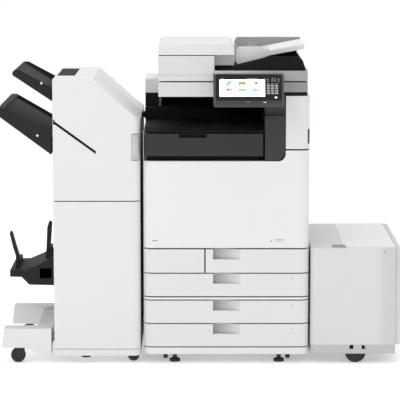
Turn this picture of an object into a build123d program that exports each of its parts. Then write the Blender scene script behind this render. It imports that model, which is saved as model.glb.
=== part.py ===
"""Multifunction copier: engine on a cassette pedestal, scanner with document feeder,
stacking finisher on the left and paper deck on the right.

Millimetres. While modelling, X runs to the right, Y to the back with y = 0 at the engine's
front face, and Z up from the floor. Every sub-part is moved at the end, so that the origin is
the middle of the whole machine's footprint."""
from build123d import *
import os

# ---- Engine and pedestal
ENGINE_LEFT = -212.0
ENGINE_WIDTH = 620.0
DEPTH = 640.0
CORNER = 33.0            # plan radius of the front corners
REAR_SUNK = 2.0          # how far the rear cover lies inside the skirt's back
WALL = 3.0               # plastic covers
PLATE = 4.0              # sheet and cast plates of the frames
FRONT_DEPTH = 36.0       # how far doors and drawer fronts wrap round the corners
SEAM = 4.5               # gap between neighbouring fronts
FIT = 0.3                # gap between a moving piece and its seat
SKIRT_BOTTOM = 32.0
SKIRT_HEIGHT = 29.0
DRAWER_HEIGHT = 85.0
TOP_DRAWER_HEIGHT = 88.0
BAND_HEIGHT = 8.0
WASTE_WIDTH = 228.0      # waste toner cover, beside the top drawer
DRAWER_TRAVEL = 450.0
DOOR_HEIGHT = 326.0
DOOR_STEP = 40.0         # extra height of the front door at its right end
DOOR_GAP = 19.0          # dark gap over the front door
TONER_DOOR_HEIGHT = 84.0
TONER_DOOR_LEFT = -204.0
TOWER_LEFT = 318.8       # left edge of the tower at the right
PILLAR_LEFT = 241.6      # left edge of the dark pillar beside the cavity
CAVITY_HEIGHT = 133.0
TONER_X = (-150.0, -50.0, 50.0, 150.0)    # middles of the four toner cartridges
TONER_RADIUS = 31.0
TONER_RISE = 42.0        # their height over the toner door's bottom
BYPASS_Y = (140.0, 480.0)
BYPASS_HEIGHT = 250.0
# ---- Pockets in the drawer fronts
POCKET_LEFT = 48.7
POCKET_WIDTH = 102.3
POCKET_HEIGHT = 38.0
POCKET_DEPTH = 24.0
# ---- Scanner and document feeder
SCAN_LEFT = -154.3
SCAN_RIGHT = 399.0
SCAN_HEIGHT = 53.0
SCAN_FRONT = 4.0
GLASS_LEFT = -60.0
GLASS_RIGHT = 375.0
GLASS_FRONT = 110.0
GLASS_DEPTH = 305.0
GLASS_THICK = 3.0
STRIP_LEFT = -122.0
STRIP_WIDTH = 27.0
CARRIAGE_TRAVEL = 440.0
ARM_X = (88.0, 258.0)    # arms that carry the control panel
HINGE_X = (-40.0, 300.0) # hinges of the document feeder
COVER_EARS = (60.0, 420.0)
DOC_FRONT = 60.0         # front and back of the document tray
DOC_BACK = 476.0
FEEDER_RIGHT = 54.0
FEED_BOX_RIGHT = 126.6
FEEDER_HEIGHT = 75.0
TOP_COVER_HEIGHT = 40.5
HINGE_PIN = 4.0          # radius of the larger hinge pins
PIN_PLAY = 0.3           # radial gap of a hinge pin in its bore
# ---- Control panel
PANEL_LEFT = 49.0
PANEL_WIDTH = 260.0
PANEL_HEIGHT = 147.0
PANEL_THICK = 20.0
SCREEN_WIDTH = 172.0
SCREEN_HEIGHT = 101.0
SCREEN_LEFT = 20.0       # from the panel's left and lower edges
SCREEN_LOW = 30.0
SCREEN_SUNK = 2.5
KEY_FROM_SCREEN = 37.0   # the start key, right of the screen
KEY_RADIUS = 6.0
# ---- Finisher
FIN_GAP = 11.0           # between the finisher and the engine
FIN_WIDTH = 324.0
FIN_HEIGHT = 1070.0
FIN_DEPTH = 620.0
FIN_CORNER = 28.0
FIN_BOTTOM = 30.0
FIN_SPLIT = 616.0        # height of the seam between its doors
TRAY_GAP = 6.0
RAIL_Y = (140.0, 400.0)  # rails that carry the stack trays
BLADE_WIDTH = 34.0       # the paddles' blades, on hubs that run the full width
FOOT_LENGTH = 186.0      # the outrigger's arms
FOOT_WIDTH = 68.0
FOOT_GAP = 12.0
FIN_PIN = 2.5            # pins of the finisher's doors
# ---- Paper deck
DECK_GAP = 6.0
DECK_WIDTH = 340.0
DECK_HEIGHT = 440.0
DECK_DEPTH = 630.0
DECK_BOTTOM = 38.0
DECK_END = 18.0          # thickness of the end panel that pulls out
DECK_TRAVEL = 280.0
WHEEL = 39.5             # radius of the deck's big wheels
CASTER = 27.5            # radius of the finisher's casters

# ---- Levels and edges that follow from the sizes above
ENGINE_RIGHT = ENGINE_LEFT + ENGINE_WIDTH
REAR = DEPTH - REAR_SUNK
D4 = SKIRT_BOTTOM + SKIRT_HEIGHT + SEAM
D3 = D4 + DRAWER_HEIGHT + SEAM
BAND = D3 + DRAWER_HEIGHT + SEAM
D2 = BAND + BAND_HEIGHT + SEAM
D1 = D2 + DRAWER_HEIGHT + SEAM
ENGINE_FLOOR = D1 + TOP_DRAWER_HEIGHT + SEAM + 1.0
DOOR_TOP = ENGINE_FLOOR + DOOR_HEIGHT
TONER_BOTTOM = DOOR_TOP + DOOR_GAP
TONER_TOP = TONER_BOTTOM + TONER_DOOR_HEIGHT
CAVITY = TONER_TOP + SEAM
SCAN = CAVITY + CAVITY_HEIGHT
SCAN_TOP = SCAN + SCAN_HEIGHT
SCAN_BACK = DEPTH - 50.0
ADF = SCAN_TOP + 5.0
ADF_TOP = ADF + 38.0
ADF_BACK = SCAN_BACK - 50.0
FEEDER_TOP = ADF + 18.0 + FEEDER_HEIGHT
COVER_TOP = FEEDER_TOP + FIT * 10 + TOP_COVER_HEIGHT
BIN_LEFT = ENGINE_LEFT + 22.0
BIN_RIGHT = ENGINE_RIGHT - 22.0
TOP_BIN_LEFT = ENGINE_LEFT + WASTE_WIDTH + 5.0 + 12.0
BIN_BACK = DEPTH - 50.0
COVER_FRONT = FRONT_DEPTH + 1.5
FIN_RIGHT = ENGINE_LEFT - FIN_GAP
FIN_LEFT = FIN_RIGHT - FIN_WIDTH
TRAY_RIGHT = FIN_LEFT - TRAY_GAP
DECK_LEFT = ENGINE_RIGHT + DECK_GAP
DECK_RIGHT = DECK_LEFT + DECK_WIDTH
SHOULDER_FRONT = 400.0
BUFFER_FRONT = 330.0
DRAWERS = {1: (D1, TOP_DRAWER_HEIGHT), 2: (D2, DRAWER_HEIGHT),
           3: (D3, DRAWER_HEIGHT), 4: (D4, DRAWER_HEIGHT)}

# ---- Pivots (x, y, z) of the hinges; None marks the direction of the axis
FRONT_DOOR_PIVOT = (None, 9.0, ENGINE_FLOOR + 7.0)
TONER_DOOR_PIVOT = (None, 10.0, TONER_BOTTOM + 7.0)
WASTE_PIVOT = (ENGINE_LEFT + 14.0, 20.0, None)
RIGHT_DOOR_PIVOT = (ENGINE_RIGHT - 6.5, DEPTH - 86.0, None)
BYPASS_PIVOT = (ENGINE_RIGHT - 5.0, None, ENGINE_FLOOR + 38.0)
ADF_PIVOT = (None, ADF_BACK + 13.0, SCAN_TOP + 11.0)
COVER_PIVOT = (SCAN_LEFT + 5.0, None, FEEDER_TOP + 7.0)
DOC_PIVOT = (FEED_BOX_RIGHT + 13.4, None, FEEDER_TOP + 9.0)
PANEL_PIVOT = (None, -46.0, SCAN + 18.4)
FIN_DOOR_PIVOT = (FIN_LEFT + 9.0, 9.0, None)
PADDLE_OUTER_PIVOT = (TRAY_RIGHT - 149.0, None, 341.0)
PADDLE_INNER_PIVOT = (TRAY_RIGHT - 32.0, None, 384.0)
DECK_WHEEL_PIVOT = (DECK_LEFT + 172.0, None, WHEEL)
CASTER_X = TRAY_RIGHT - 133.0
CASTER_TRAIL = 14.0
CASTER_AXLES = (42.0, 492.0)
SWIVEL_X = CASTER_X + CASTER_TRAIL
FIN_DOORS = {"finisher_lower_door": (FIN_BOTTOM + 26.0, FIN_SPLIT - 2.0),
             "finisher_upper_door": (FIN_SPLIT + 2.0, FIN_HEIGHT)}
PANEL_PLANE = Plane(origin=(PANEL_LEFT, -118.0, SCAN - 15.0), x_dir=(1, 0, 0), z_dir=(0, -0.695, 0.719))

PARTS = {}


# ---- Shapes used throughout
def block(x0, x1, y0, y1, z0, z1):
    """Box between two corners."""
    return Pos((x0 + x1) / 2, (y0 + y1) / 2, (z0 + z1) / 2) * Box(x1 - x0, y1 - y0, z1 - z0)


def prism_y(points, y0, y1):
    """Outline given as (x, z), run from y0 to y1."""
    outline = Polyline(*[(x, y0, z) for x, z in points], close=True)
    return extrude(make_face(outline), amount=y1 - y0, dir=(0, 1, 0))


def prism_x(points, x0, x1):
    """Outline given as (y, z), run from x0 to x1."""
    outline = Polyline(*[(x0, y, z) for y, z in points], close=True)
    return extrude(make_face(outline), amount=x1 - x0, dir=(1, 0, 0))


def rod(axis, start, radius, length):
    """Cylinder from its start point along X, Y or Z."""
    direction = {"x": (1, 0, 0), "y": (0, 1, 0), "z": (0, 0, 1)}[axis]
    base = Align.CENTER, Align.CENTER, Align.MIN
    return Plane(origin=start, z_dir=direction) * Cylinder(radius, length, align=base)


def upright_edges(solid, left=True, right=True):
    """The vertical edges at a solid's front corners."""
    front = solid.edges().filter_by(Axis.Z).group_by(Axis.Y)[0].sort_by(Axis.X)
    chosen = []
    if left:
        chosen.append(front[0])
    if right:
        chosen.append(front[-1])
    return chosen


def slab(x0, x1, y0, y1, z0, z1, left=0.0, right=0.0):
    """Block whose front corners are rounded in plan by the radii left and right."""
    body = block(x0, x1, y0, y1, z0, z1)
    if left:
        body = fillet(upright_edges(body, right=False), left)
    if right:
        body = fillet(upright_edges(body, left=False), right)
    return body


def front_shell(x0, x1, z0, z1, left=0.0, right=0.0, back=FRONT_DEPTH):
    """Cover open at the back, with walls of WALL, that wraps round the rounded corners."""
    outer = slab(x0, x1, 0, back, z0, z1, left, right)
    inner = slab(x0 + WALL, x1 - WALL, WALL, back + 1, z0 + WALL, z1 - WALL,
                 max(left - WALL, 0), max(right - WALL, 0))
    return outer - inner


def put(name, *solids):
    """Adds solids to a named sub-part."""
    for solid in solids:
        PARTS.setdefault(name, []).extend(solid.solids())


# ---- Engine and pedestal
def main_frame():
    left = ENGINE_LEFT + 8.0
    right = ENGINE_RIGHT - 14.0
    back = DEPTH - 36.0
    floor = SKIRT_BOTTOM + SKIRT_HEIGHT
    put("main_frame", block(left, left + PLATE, COVER_FRONT + 4, back, floor + PLATE, CAVITY))
    put("main_frame", block(right, right + PLATE, COVER_FRONT + 4, back, floor + PLATE, ENGINE_FLOOR - 4))
    put("main_frame", block(left, right + PLATE, COVER_FRONT + 4, back, floor, floor + PLATE))
    put("main_frame", block(left, right + PLATE, back, back + PLATE, floor, CAVITY))
    put("main_frame", block(SCAN_LEFT, right + PLATE, back, back + PLATE, CAVITY, SCAN - 2))
    shelf = ENGINE_FLOOR - 4.0
    inner = left + PLATE
    put("main_frame", block(inner, right + PLATE, COVER_FRONT + 4, back, shelf, ENGINE_FLOOR - 1))
    door_side = ENGINE_RIGHT - 30.0
    put("main_frame", block(door_side, door_side + PLATE, COVER_FRONT + 24, back, ENGINE_FLOOR - 1, SCAN - 2))
    put("main_frame", block(inner, right, COVER_FRONT + 4, back, BAND - 1, BAND + 1))
    tongue_left, tongue_right = ENGINE_LEFT + CORNER + 5, ENGINE_RIGHT - CORNER - 5
    put("main_frame", block(tongue_left, tongue_right, WALL, COVER_FRONT + 24, BAND + 1, BAND + 3))
    divider = TOP_BIN_LEFT - 8.0
    put("main_frame", block(divider - PLATE, divider, COVER_FRONT + 4, back, D1, shelf))
    for number, (z0, height) in DRAWERS.items():
        rail = z0 + height / 2
        start = divider if number == 1 else inner
        put("main_frame", block(start, start + 7, COVER_FRONT + 6, BIN_BACK, rail, rail + 8))
        put("main_frame", block(right - 7, right, COVER_FRONT + 6, BIN_BACK, rail, rail + 8))


def rear_cover():
    plate = block(ENGINE_LEFT + WALL, ENGINE_RIGHT - WALL, REAR - WALL, REAR,
                  SKIRT_BOTTOM + SKIRT_HEIGHT, SCAN - 2)
    slots = []
    for column in range(3):
        for row in range(9):
            x = ENGINE_LEFT + ENGINE_WIDTH * (0.25 + 0.25 * column)
            z = ENGINE_FLOOR + 90 + row * 14
            slots.append(block(x - 45, x + 45, REAR - WALL - 1, REAR + 1, z, z + 5))
    put("rear_cover", plate - slots)
    shoulder = block(ENGINE_LEFT, SCAN_LEFT - 4, SHOULDER_FRONT, REAR - WALL, CAVITY, SCAN + 40)
    hollow = block(ENGINE_LEFT + WALL, SCAN_LEFT - 4 - WALL, SHOULDER_FRONT + WALL, REAR - 2 * WALL,
                   CAVITY - 1, SCAN + 40 - WALL)
    shoulder = fillet(shoulder.edges().group_by(Axis.Z)[-1].sort_by(Axis.Y)[0], 8)
    put("rear_cover", shoulder - hollow)


def side_covers():
    back = REAR - WALL
    low = SKIRT_BOTTOM + SKIRT_HEIGHT
    left = ENGINE_LEFT
    right = ENGINE_RIGHT
    door_front = COVER_FRONT + 25.5
    door_back = RIGHT_DOOR_PIVOT[1] + 8.5
    door_top = SCAN - 18.0
    put("side_covers", block(left, left + WALL, COVER_FRONT, back, low, CAVITY - FIT))
    put("side_covers", block(right - WALL, right, COVER_FRONT, back, low, ENGINE_FLOOR + 9))
    put("side_covers", block(right - WALL, right, COVER_FRONT, door_front, ENGINE_FLOOR + 9, SCAN))
    put("side_covers", block(right - WALL, right, door_back, back, ENGINE_FLOOR + 9, SCAN))
    put("side_covers", block(right - WALL, right, door_front, door_back, door_top + 2, SCAN))
    roof_left = TOWER_LEFT - 76
    put("side_covers", block(roof_left, right - WALL, FRONT_DEPTH + 2, back, SCAN, SCAN + WALL))


def tower_cover():
    bottom = DOOR_TOP + DOOR_STEP + 6
    cover = front_shell(TOWER_LEFT, ENGINE_RIGHT, bottom, SCAN + WALL, 0, CORNER)
    grip = block(ENGINE_RIGHT - 8, ENGINE_RIGHT + 1, 14, FRONT_DEPTH + 1, bottom + 18, bottom + 74)
    put("tower_cover", cover - grip)


def pillar_trim():
    right = TOWER_LEFT - WALL
    lower = block(PILLAR_LEFT, right, 0, 28, DOOR_TOP + 3, SCAN - 71)
    corner = lower.edges().filter_by(Axis.Y).group_by(Axis.Z)[0].sort_by(Axis.X)[-1]
    put("pillar_trim", fillet(corner, 30))
    put("pillar_trim", block(PILLAR_LEFT, right, 10, 28, SCAN - 71, SCAN - 53))
    put("pillar_trim", block(PILLAR_LEFT, right, 0, 28, SCAN - 53, SCAN - FIT))


def cavity_liner():
    floor_left = ENGINE_LEFT + 7
    right = PILLAR_LEFT - 0.6
    z = CAVITY
    lip = [(2, z), (2, z + 6), (30, z + 18), (BUFFER_FRONT, z + 18), (BUFFER_FRONT, z + 14),
           (34, z + 14), (8, z + 3), (8, z)]
    put("cavity_liner", prism_x(lip, floor_left, right - WALL))
    put("cavity_liner", block(right - WALL, right, 2, DEPTH - 44, z, SCAN - 2))
    put("cavity_liner", block(SCAN_LEFT + 1, right - WALL, DEPTH - 48, DEPTH - 44, z, SCAN - 2))
    inner = block(ENGINE_LEFT + 12, right, COVER_FRONT, COVER_FRONT + 3, DOOR_TOP - 20, z)
    middle = TONER_BOTTOM + TONER_RISE
    holes = [rod("y", (x, COVER_FRONT - 1, middle), TONER_RADIUS + FIT, 6) for x in TONER_X]
    put("cavity_liner", inner - holes)
    for x in bracket_places(TONER_DOOR_LEFT, PILLAR_LEFT - 8):
        put("cavity_liner", hinge_bracket(x, TONER_DOOR_PIVOT, COVER_FRONT))


def bracket_places(left, right):
    """Left faces of a door's two hinge brackets."""
    return left + 60.0, right - 66.0


def hinge_bracket(x, pivot, back, width=6.0, height=8.0):
    """Tongue from the plate behind a door, with a pin to its right."""
    y, z = pivot[1], pivot[2]
    tongue = block(x, x + width, y, back, z - height / 2, z + height / 2)
    pin = rod("x", (x, y, z), height / 2, width + 14)
    return tongue + pin


def buffer_pass():
    z = CAVITY + 18.4
    left = SCAN_LEFT + 1
    right = PILLAR_LEFT - WALL - 1
    back = DEPTH - 49
    body = [(left, z), (left, z + 43), (30, z + 43), (70, z + 24), (190, z + 3), (right, z + 3), (right, z)]
    panel = block(-129, 23, BUFFER_FRONT - 1, BUFFER_FRONT + 4, z + 8, z + 36)
    put("buffer_pass", prism_y(body, BUFFER_FRONT, back) - panel)
    put("buffer_pass", block(ENGINE_LEFT, left, BUFFER_FRONT, SHOULDER_FRONT - 1, z, z + 43))
    put("buffer_pass", block(FIN_RIGHT, ENGINE_LEFT, BUFFER_FRONT + 5, SHOULDER_FRONT - 6, z + 5, z + 25))


def inner_units():
    """Toner, imaging and fusing units and the waste toner bottle."""
    for x in TONER_X:
        bottle = rod("y", (x, 26, TONER_BOTTOM + TONER_RISE), TONER_RADIUS, 394)
        put("toner_cartridges", bottle)
        put("imaging_unit", rod("y", (x - 15, 60, DOOR_TOP - 126), 15, 480))
    belt = block(ENGINE_LEFT + 40, 190, 70, 530, DOOR_TOP - 111, DOOR_TOP - 75)
    put("imaging_unit", fillet(belt.edges().filter_by(Axis.Y), 17))
    tray = block(ENGINE_LEFT + 12, 220, 60, 540, DOOR_TOP - 200, DOOR_TOP - 141)
    put("imaging_unit", tray)
    roll_x = ENGINE_RIGHT - 90.0
    fuser = block(roll_x - 45, roll_x + 60, 55, 545, DOOR_TOP - 20, DOOR_TOP + 90)
    core = block(roll_x - 35, roll_x + 50, 65, 535, DOOR_TOP - 21, DOOR_TOP + 91)
    put("fuser_unit", fuser - core)
    for offset in (-17, 18):
        put("fuser_unit", rod("y", (roll_x + offset + 7, 65, DOOR_TOP + 35), 16.5, 470))
    bottle = block(ENGINE_LEFT + 12, ENGINE_LEFT + WASTE_WIDTH - 12, 44, 320, D1 + 2, D1 + 76)
    put("waste_toner_bottle", fillet(bottle.edges().filter_by(Axis.Y), 12))


def trim_bands():
    """Skirt round the foot and the thin band between the drawers, as corner pieces and sides."""
    top = SKIRT_BOTTOM + SKIRT_HEIGHT
    skirt = slab(ENGINE_LEFT, ENGINE_RIGHT, 0, FRONT_DEPTH, SKIRT_BOTTOM, top, CORNER, CORNER)
    ends = skirt.edges().filter_by(Axis.Y).group_by(Axis.Z)[0]
    skirt = fillet(ends, 12)
    hollow = slab(ENGINE_LEFT + PLATE, ENGINE_RIGHT - PLATE, PLATE, FRONT_DEPTH + 1, SKIRT_BOTTOM - 1,
                  top - PLATE, CORNER - PLATE, CORNER - PLATE)
    put("trim_bands", skirt - hollow)
    band = slab(ENGINE_LEFT, ENGINE_RIGHT, 0, FRONT_DEPTH, BAND, BAND + BAND_HEIGHT, CORNER, CORNER)
    inside = slab(ENGINE_LEFT + WALL, ENGINE_RIGHT - WALL, WALL, FRONT_DEPTH + 1, BAND - 1,
                  BAND + BAND_HEIGHT + 1, CORNER - WALL, CORNER - WALL)
    put("trim_bands", band - inside)
    for x in (ENGINE_LEFT, ENGINE_RIGHT - PLATE):
        put("trim_bands", block(x, x + PLATE, FRONT_DEPTH, DEPTH - PLATE, SKIRT_BOTTOM, top))
    put("trim_bands", block(ENGINE_LEFT, ENGINE_RIGHT, DEPTH - PLATE, DEPTH, SKIRT_BOTTOM, top))


def pedestal_feet():
    top = SKIRT_BOTTOM + SKIRT_HEIGHT
    for x in (ENGINE_LEFT + 117, ENGINE_RIGHT - 110):
        for y in (50, DEPTH - 60):
            pad = rod("z", (x, y, 0), 20, 12)
            pad = chamfer(pad.edges().group_by(Axis.Z)[-1], 4)
            put("pedestal_feet", pad + rod("z", (x, y, 12), 8, top - 12))
    for x in (ENGINE_LEFT + 81, ENGINE_RIGHT - 75):
        for y in (105, DEPTH - 120):
            wheel = rod("x", (x - 8, y, 25), 25, 16)
            put("pedestal_feet", fillet(wheel.edges(), 3))
            fork = block(x - 12, x + 12, y - 16, y + 16, 25, top)
            fork -= block(x - 8.3, x + 8.3, y - 26, y + 26, 0, 53)
            put("pedestal_feet", fork)


def front_door():
    left, right = ENGINE_LEFT, ENGINE_RIGHT
    door = front_shell(left, right, ENGINE_FLOOR, DOOR_TOP, CORNER, CORNER)
    step = slab(TOWER_LEFT, right, 0, FRONT_DEPTH, DOOR_TOP - WALL, DOOR_TOP + DOOR_STEP, 0, CORNER)
    hollow = slab(TOWER_LEFT + WALL, right - WALL, WALL, FRONT_DEPTH + 1, DOOR_TOP - 2 * WALL,
                  DOOR_TOP + DOOR_STEP - WALL, 0, CORNER - WALL)
    round_fill = block(TOWER_LEFT - 28, TOWER_LEFT, 0, WALL, DOOR_TOP, DOOR_TOP + 28)
    round_fill -= rod("y", (TOWER_LEFT - 28, -1, DOOR_TOP + 28), 28, 9)
    door = door + step - hollow + round_fill
    y, z = FRONT_DOOR_PIVOT[1], FRONT_DOOR_PIVOT[2]
    for x in bracket_places(left, right):
        door -= block(x - 1, x + 7, WALL, FRONT_DEPTH + 1, ENGINE_FLOOR - 1, z + 1)
        lug = block(x + 7, x + 18, WALL, y + 7, ENGINE_FLOOR + WALL, z + 7)
        door += lug
        door -= rod("x", (x - 1, y, z), 4 + PIN_PLAY, 24)
        put("main_frame", hinge_bracket(x, FRONT_DOOR_PIVOT, COVER_FRONT + 4))
        foot = block(x, x + 6, COVER_FRONT + 4, COVER_FRONT + 8, ENGINE_FLOOR - 1, z + 4)
        put("main_frame", foot)
    put("front_door", door)


def toner_door():
    right = PILLAR_LEFT - 7.6
    door = block(TONER_DOOR_LEFT, right, 0, 14, TONER_BOTTOM, TONER_TOP)
    door = fillet(door.edges().group_by(Axis.Y)[0].filter_by(Axis.X), 2)
    door -= block(-78, 25, 4, 15, TONER_TOP - 21, TONER_TOP + 1)
    door -= block(-78, 25, -1, 15, TONER_TOP - 15, TONER_TOP + 1)
    door += block(-78, 25, 11, 14, TONER_TOP - 24, TONER_TOP)
    y, z = TONER_DOOR_PIVOT[1], TONER_DOOR_PIVOT[2]
    for x in bracket_places(TONER_DOOR_LEFT, PILLAR_LEFT - 8):
        door -= block(x - 1, x + 7, 4, 15, TONER_BOTTOM - 1, z + 9)
        door -= rod("x", (x + 6, y, z), 4 + PIN_PLAY, 16)
        door -= block(x + 6, x + 21.5, y, 15, z - 4 - PIN_PLAY, z + 4 + PIN_PLAY)
    put("toner_door", door)


def waste_toner_cover():
    right = ENGINE_LEFT + WASTE_WIDTH
    top = D1 + TOP_DRAWER_HEIGHT
    cover = front_shell(ENGINE_LEFT, right, D1, top, CORNER, 0, FRONT_DEPTH - 2)
    x, y = WASTE_PIVOT[0], WASTE_PIVOT[1]
    for z in (D1 + WALL, top - WALL - 6):
        cover += block(x - 11, x + 7, WALL + 6, y + 7, z, z + 6)
    cover -= rod("z", (x, y, D1 - 1), 4 + PIN_PLAY, TOP_DRAWER_HEIGHT + 2)
    put("waste_toner_cover", cover)
    pin = rod("z", (x, y, D1 - 1.5), 4, TOP_DRAWER_HEIGHT + 3)
    arm_top = block(x - 4, x + 4, y, COVER_FRONT + 4, top + 0.5, top + 3.5)
    arm_low = block(x - 4, x + 4, y, COVER_FRONT + 4, D1 - 4, D1 - 1)
    put("main_frame", pin + arm_top + arm_low)


def pocket_plan(grow):
    """Plan outline of a handle pocket: deep at its left end, running out in an arc."""
    left = POCKET_LEFT - grow
    right = POCKET_LEFT + POCKET_WIDTH + grow
    deep = POCKET_DEPTH + grow
    start = -1.0 if grow == 0 else 0.0
    curve = ThreePointArc((left, deep), ((left + right) / 2 + 12, deep * 0.62), (right, 0))
    rest = Polyline((right, 0), (right, start - 0.1), (left, start - 0.1), (left, deep))
    return make_face(curve + rest)


def drawer_front(number):
    z0, height = DRAWERS[number]
    left = ENGINE_LEFT + WASTE_WIDTH + 5.0 if number == 1 else ENGINE_LEFT
    top = z0 + height
    shell = front_shell(left, ENGINE_RIGHT, z0, top, 0 if number == 1 else CORNER, CORNER)
    bowl = extrude(Pos(0, 0, top - POCKET_HEIGHT - WALL) * pocket_plan(WALL), POCKET_HEIGHT + WALL)
    bowl &= block(left, ENGINE_RIGHT, 0.5, FRONT_DEPTH, z0, top)
    void = extrude(Pos(0, 0, top - POCKET_HEIGHT) * pocket_plan(0), POCKET_HEIGHT + 1)
    front = shell + bowl - void
    for x in (TOP_BIN_LEFT - 6 if number == 1 else BIN_LEFT + 24, BIN_RIGHT - 48):
        front += block(x, x + 16, WALL, FRONT_DEPTH, z0 + 16, z0 + 60)
    put(f"drawer_{number}_front", front)


def open_bin(x0, x1, y0, y1, z0, z1, sheet):
    """Floor and four walls of an open bin, meeting face to face."""
    floor = block(x0, x1, y0, y1, z0, z0 + sheet)
    front = block(x0, x1, y0, y0 + sheet, z0 + sheet, z1)
    back = block(x0, x1, y1 - sheet, y1, z0 + sheet, z1)
    left = block(x0, x0 + sheet, y0 + sheet, y1 - sheet, z0 + sheet, z1)
    right = block(x1 - sheet, x1, y0 + sheet, y1 - sheet, z0 + sheet, z1)
    return floor, front, back, left, right


def drawer_tray(number):
    """Paper bin with runners, lift plate and guides."""
    z0, height = DRAWERS[number]
    left = TOP_BIN_LEFT if number == 1 else BIN_LEFT
    low = z0 + 5
    high = z0 + height - 9
    sheet = 2.0
    name = f"drawer_{number}_tray"
    put(name, *open_bin(left, BIN_RIGHT, FRONT_DEPTH, BIN_BACK, low, high, sheet))
    shelf = z0 + height / 2 + 8 + FIT
    start = COVER_FRONT + 6
    put(name, block(left - 6, left, start, BIN_BACK, shelf, shelf + 3))
    put(name, block(BIN_RIGHT, BIN_RIGHT + 6, start, BIN_BACK, shelf, shelf + 3))
    plate = block(left + 60, BIN_RIGHT - 6, 100, 440, low + sheet, low + sheet + 2)
    put(name, plate)
    for y in (92, 446):
        put(name, block(left + 160, left + 250, y, y + 3, low + sheet, high - 6))
    put(name, block(left + 34, left + 38, 200, 330, low + sheet, high - 6))


def right_door():
    right = ENGINE_RIGHT
    x, hinge_y = RIGHT_DOOR_PIVOT[0], RIGHT_DOOR_PIVOT[1]
    front = COVER_FRONT + 26
    low = ENGINE_FLOOR + 10
    high = SCAN - 18
    door = block(right - 22, right, front, hinge_y + 5, low, high)
    door -= block(right - 19, right - 3, front + 3, hinge_y - 9, low + 3, high - 3)
    door -= block(right - 23, right - 18, front + 3, hinge_y - 9, low + 3, high - 3)
    y0, y1 = BYPASS_Y
    z0 = BYPASS_PIVOT[2] - 6
    z1 = z0 + BYPASS_HEIGHT + 4
    door += block(right - 16, right, y0 - 6, y1 + 6, z0 - 4, z1 + 4)
    door -= block(right - 12, right + 1, y0 - 2, y1 + 2, z0 - 1, z1)
    for y in (y0 - 2, y1 - 8):
        door += rod("y", (BYPASS_PIVOT[0], y, BYPASS_PIVOT[2]), 2.5, 10)
    door -= rod("z", (x, hinge_y, low - 1), 3 + PIN_PLAY, high - low + 2)
    put("right_door", door)
    for z, pin_z in ((low - 5.6, low - 5.6), (high + 0.6, high - 5)):
        ear = block(x - 9, right - WALL, hinge_y - 5, hinge_y + 12, z, z + 5)
        put("side_covers", ear + rod("z", (x, hinge_y, pin_z), 3, 10.6))


def bypass_tray():
    right = ENGINE_RIGHT
    y0, y1 = BYPASS_Y
    z0 = BYPASS_PIVOT[2] - 5
    tray = block(right - 10, right - FIT, y0, y1, z0, z0 + BYPASS_HEIGHT)
    tray -= block(right - 11, right - 4, y0 + 12, y1 - 12, z0 + 14, z0 + BYPASS_HEIGHT - 10)
    x, z = BYPASS_PIVOT[0], BYPASS_PIVOT[2]
    tray = fillet(tray.edges().filter_by(Axis.Y).group_by(Axis.Z)[0], 4.2)
    for y in (y0 - 2, y1 - 8):
        tray -= rod("y", (x, y - 1, z), 2.5 + PIN_PLAY, 12)
    put("bypass_tray", tray)


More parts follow.
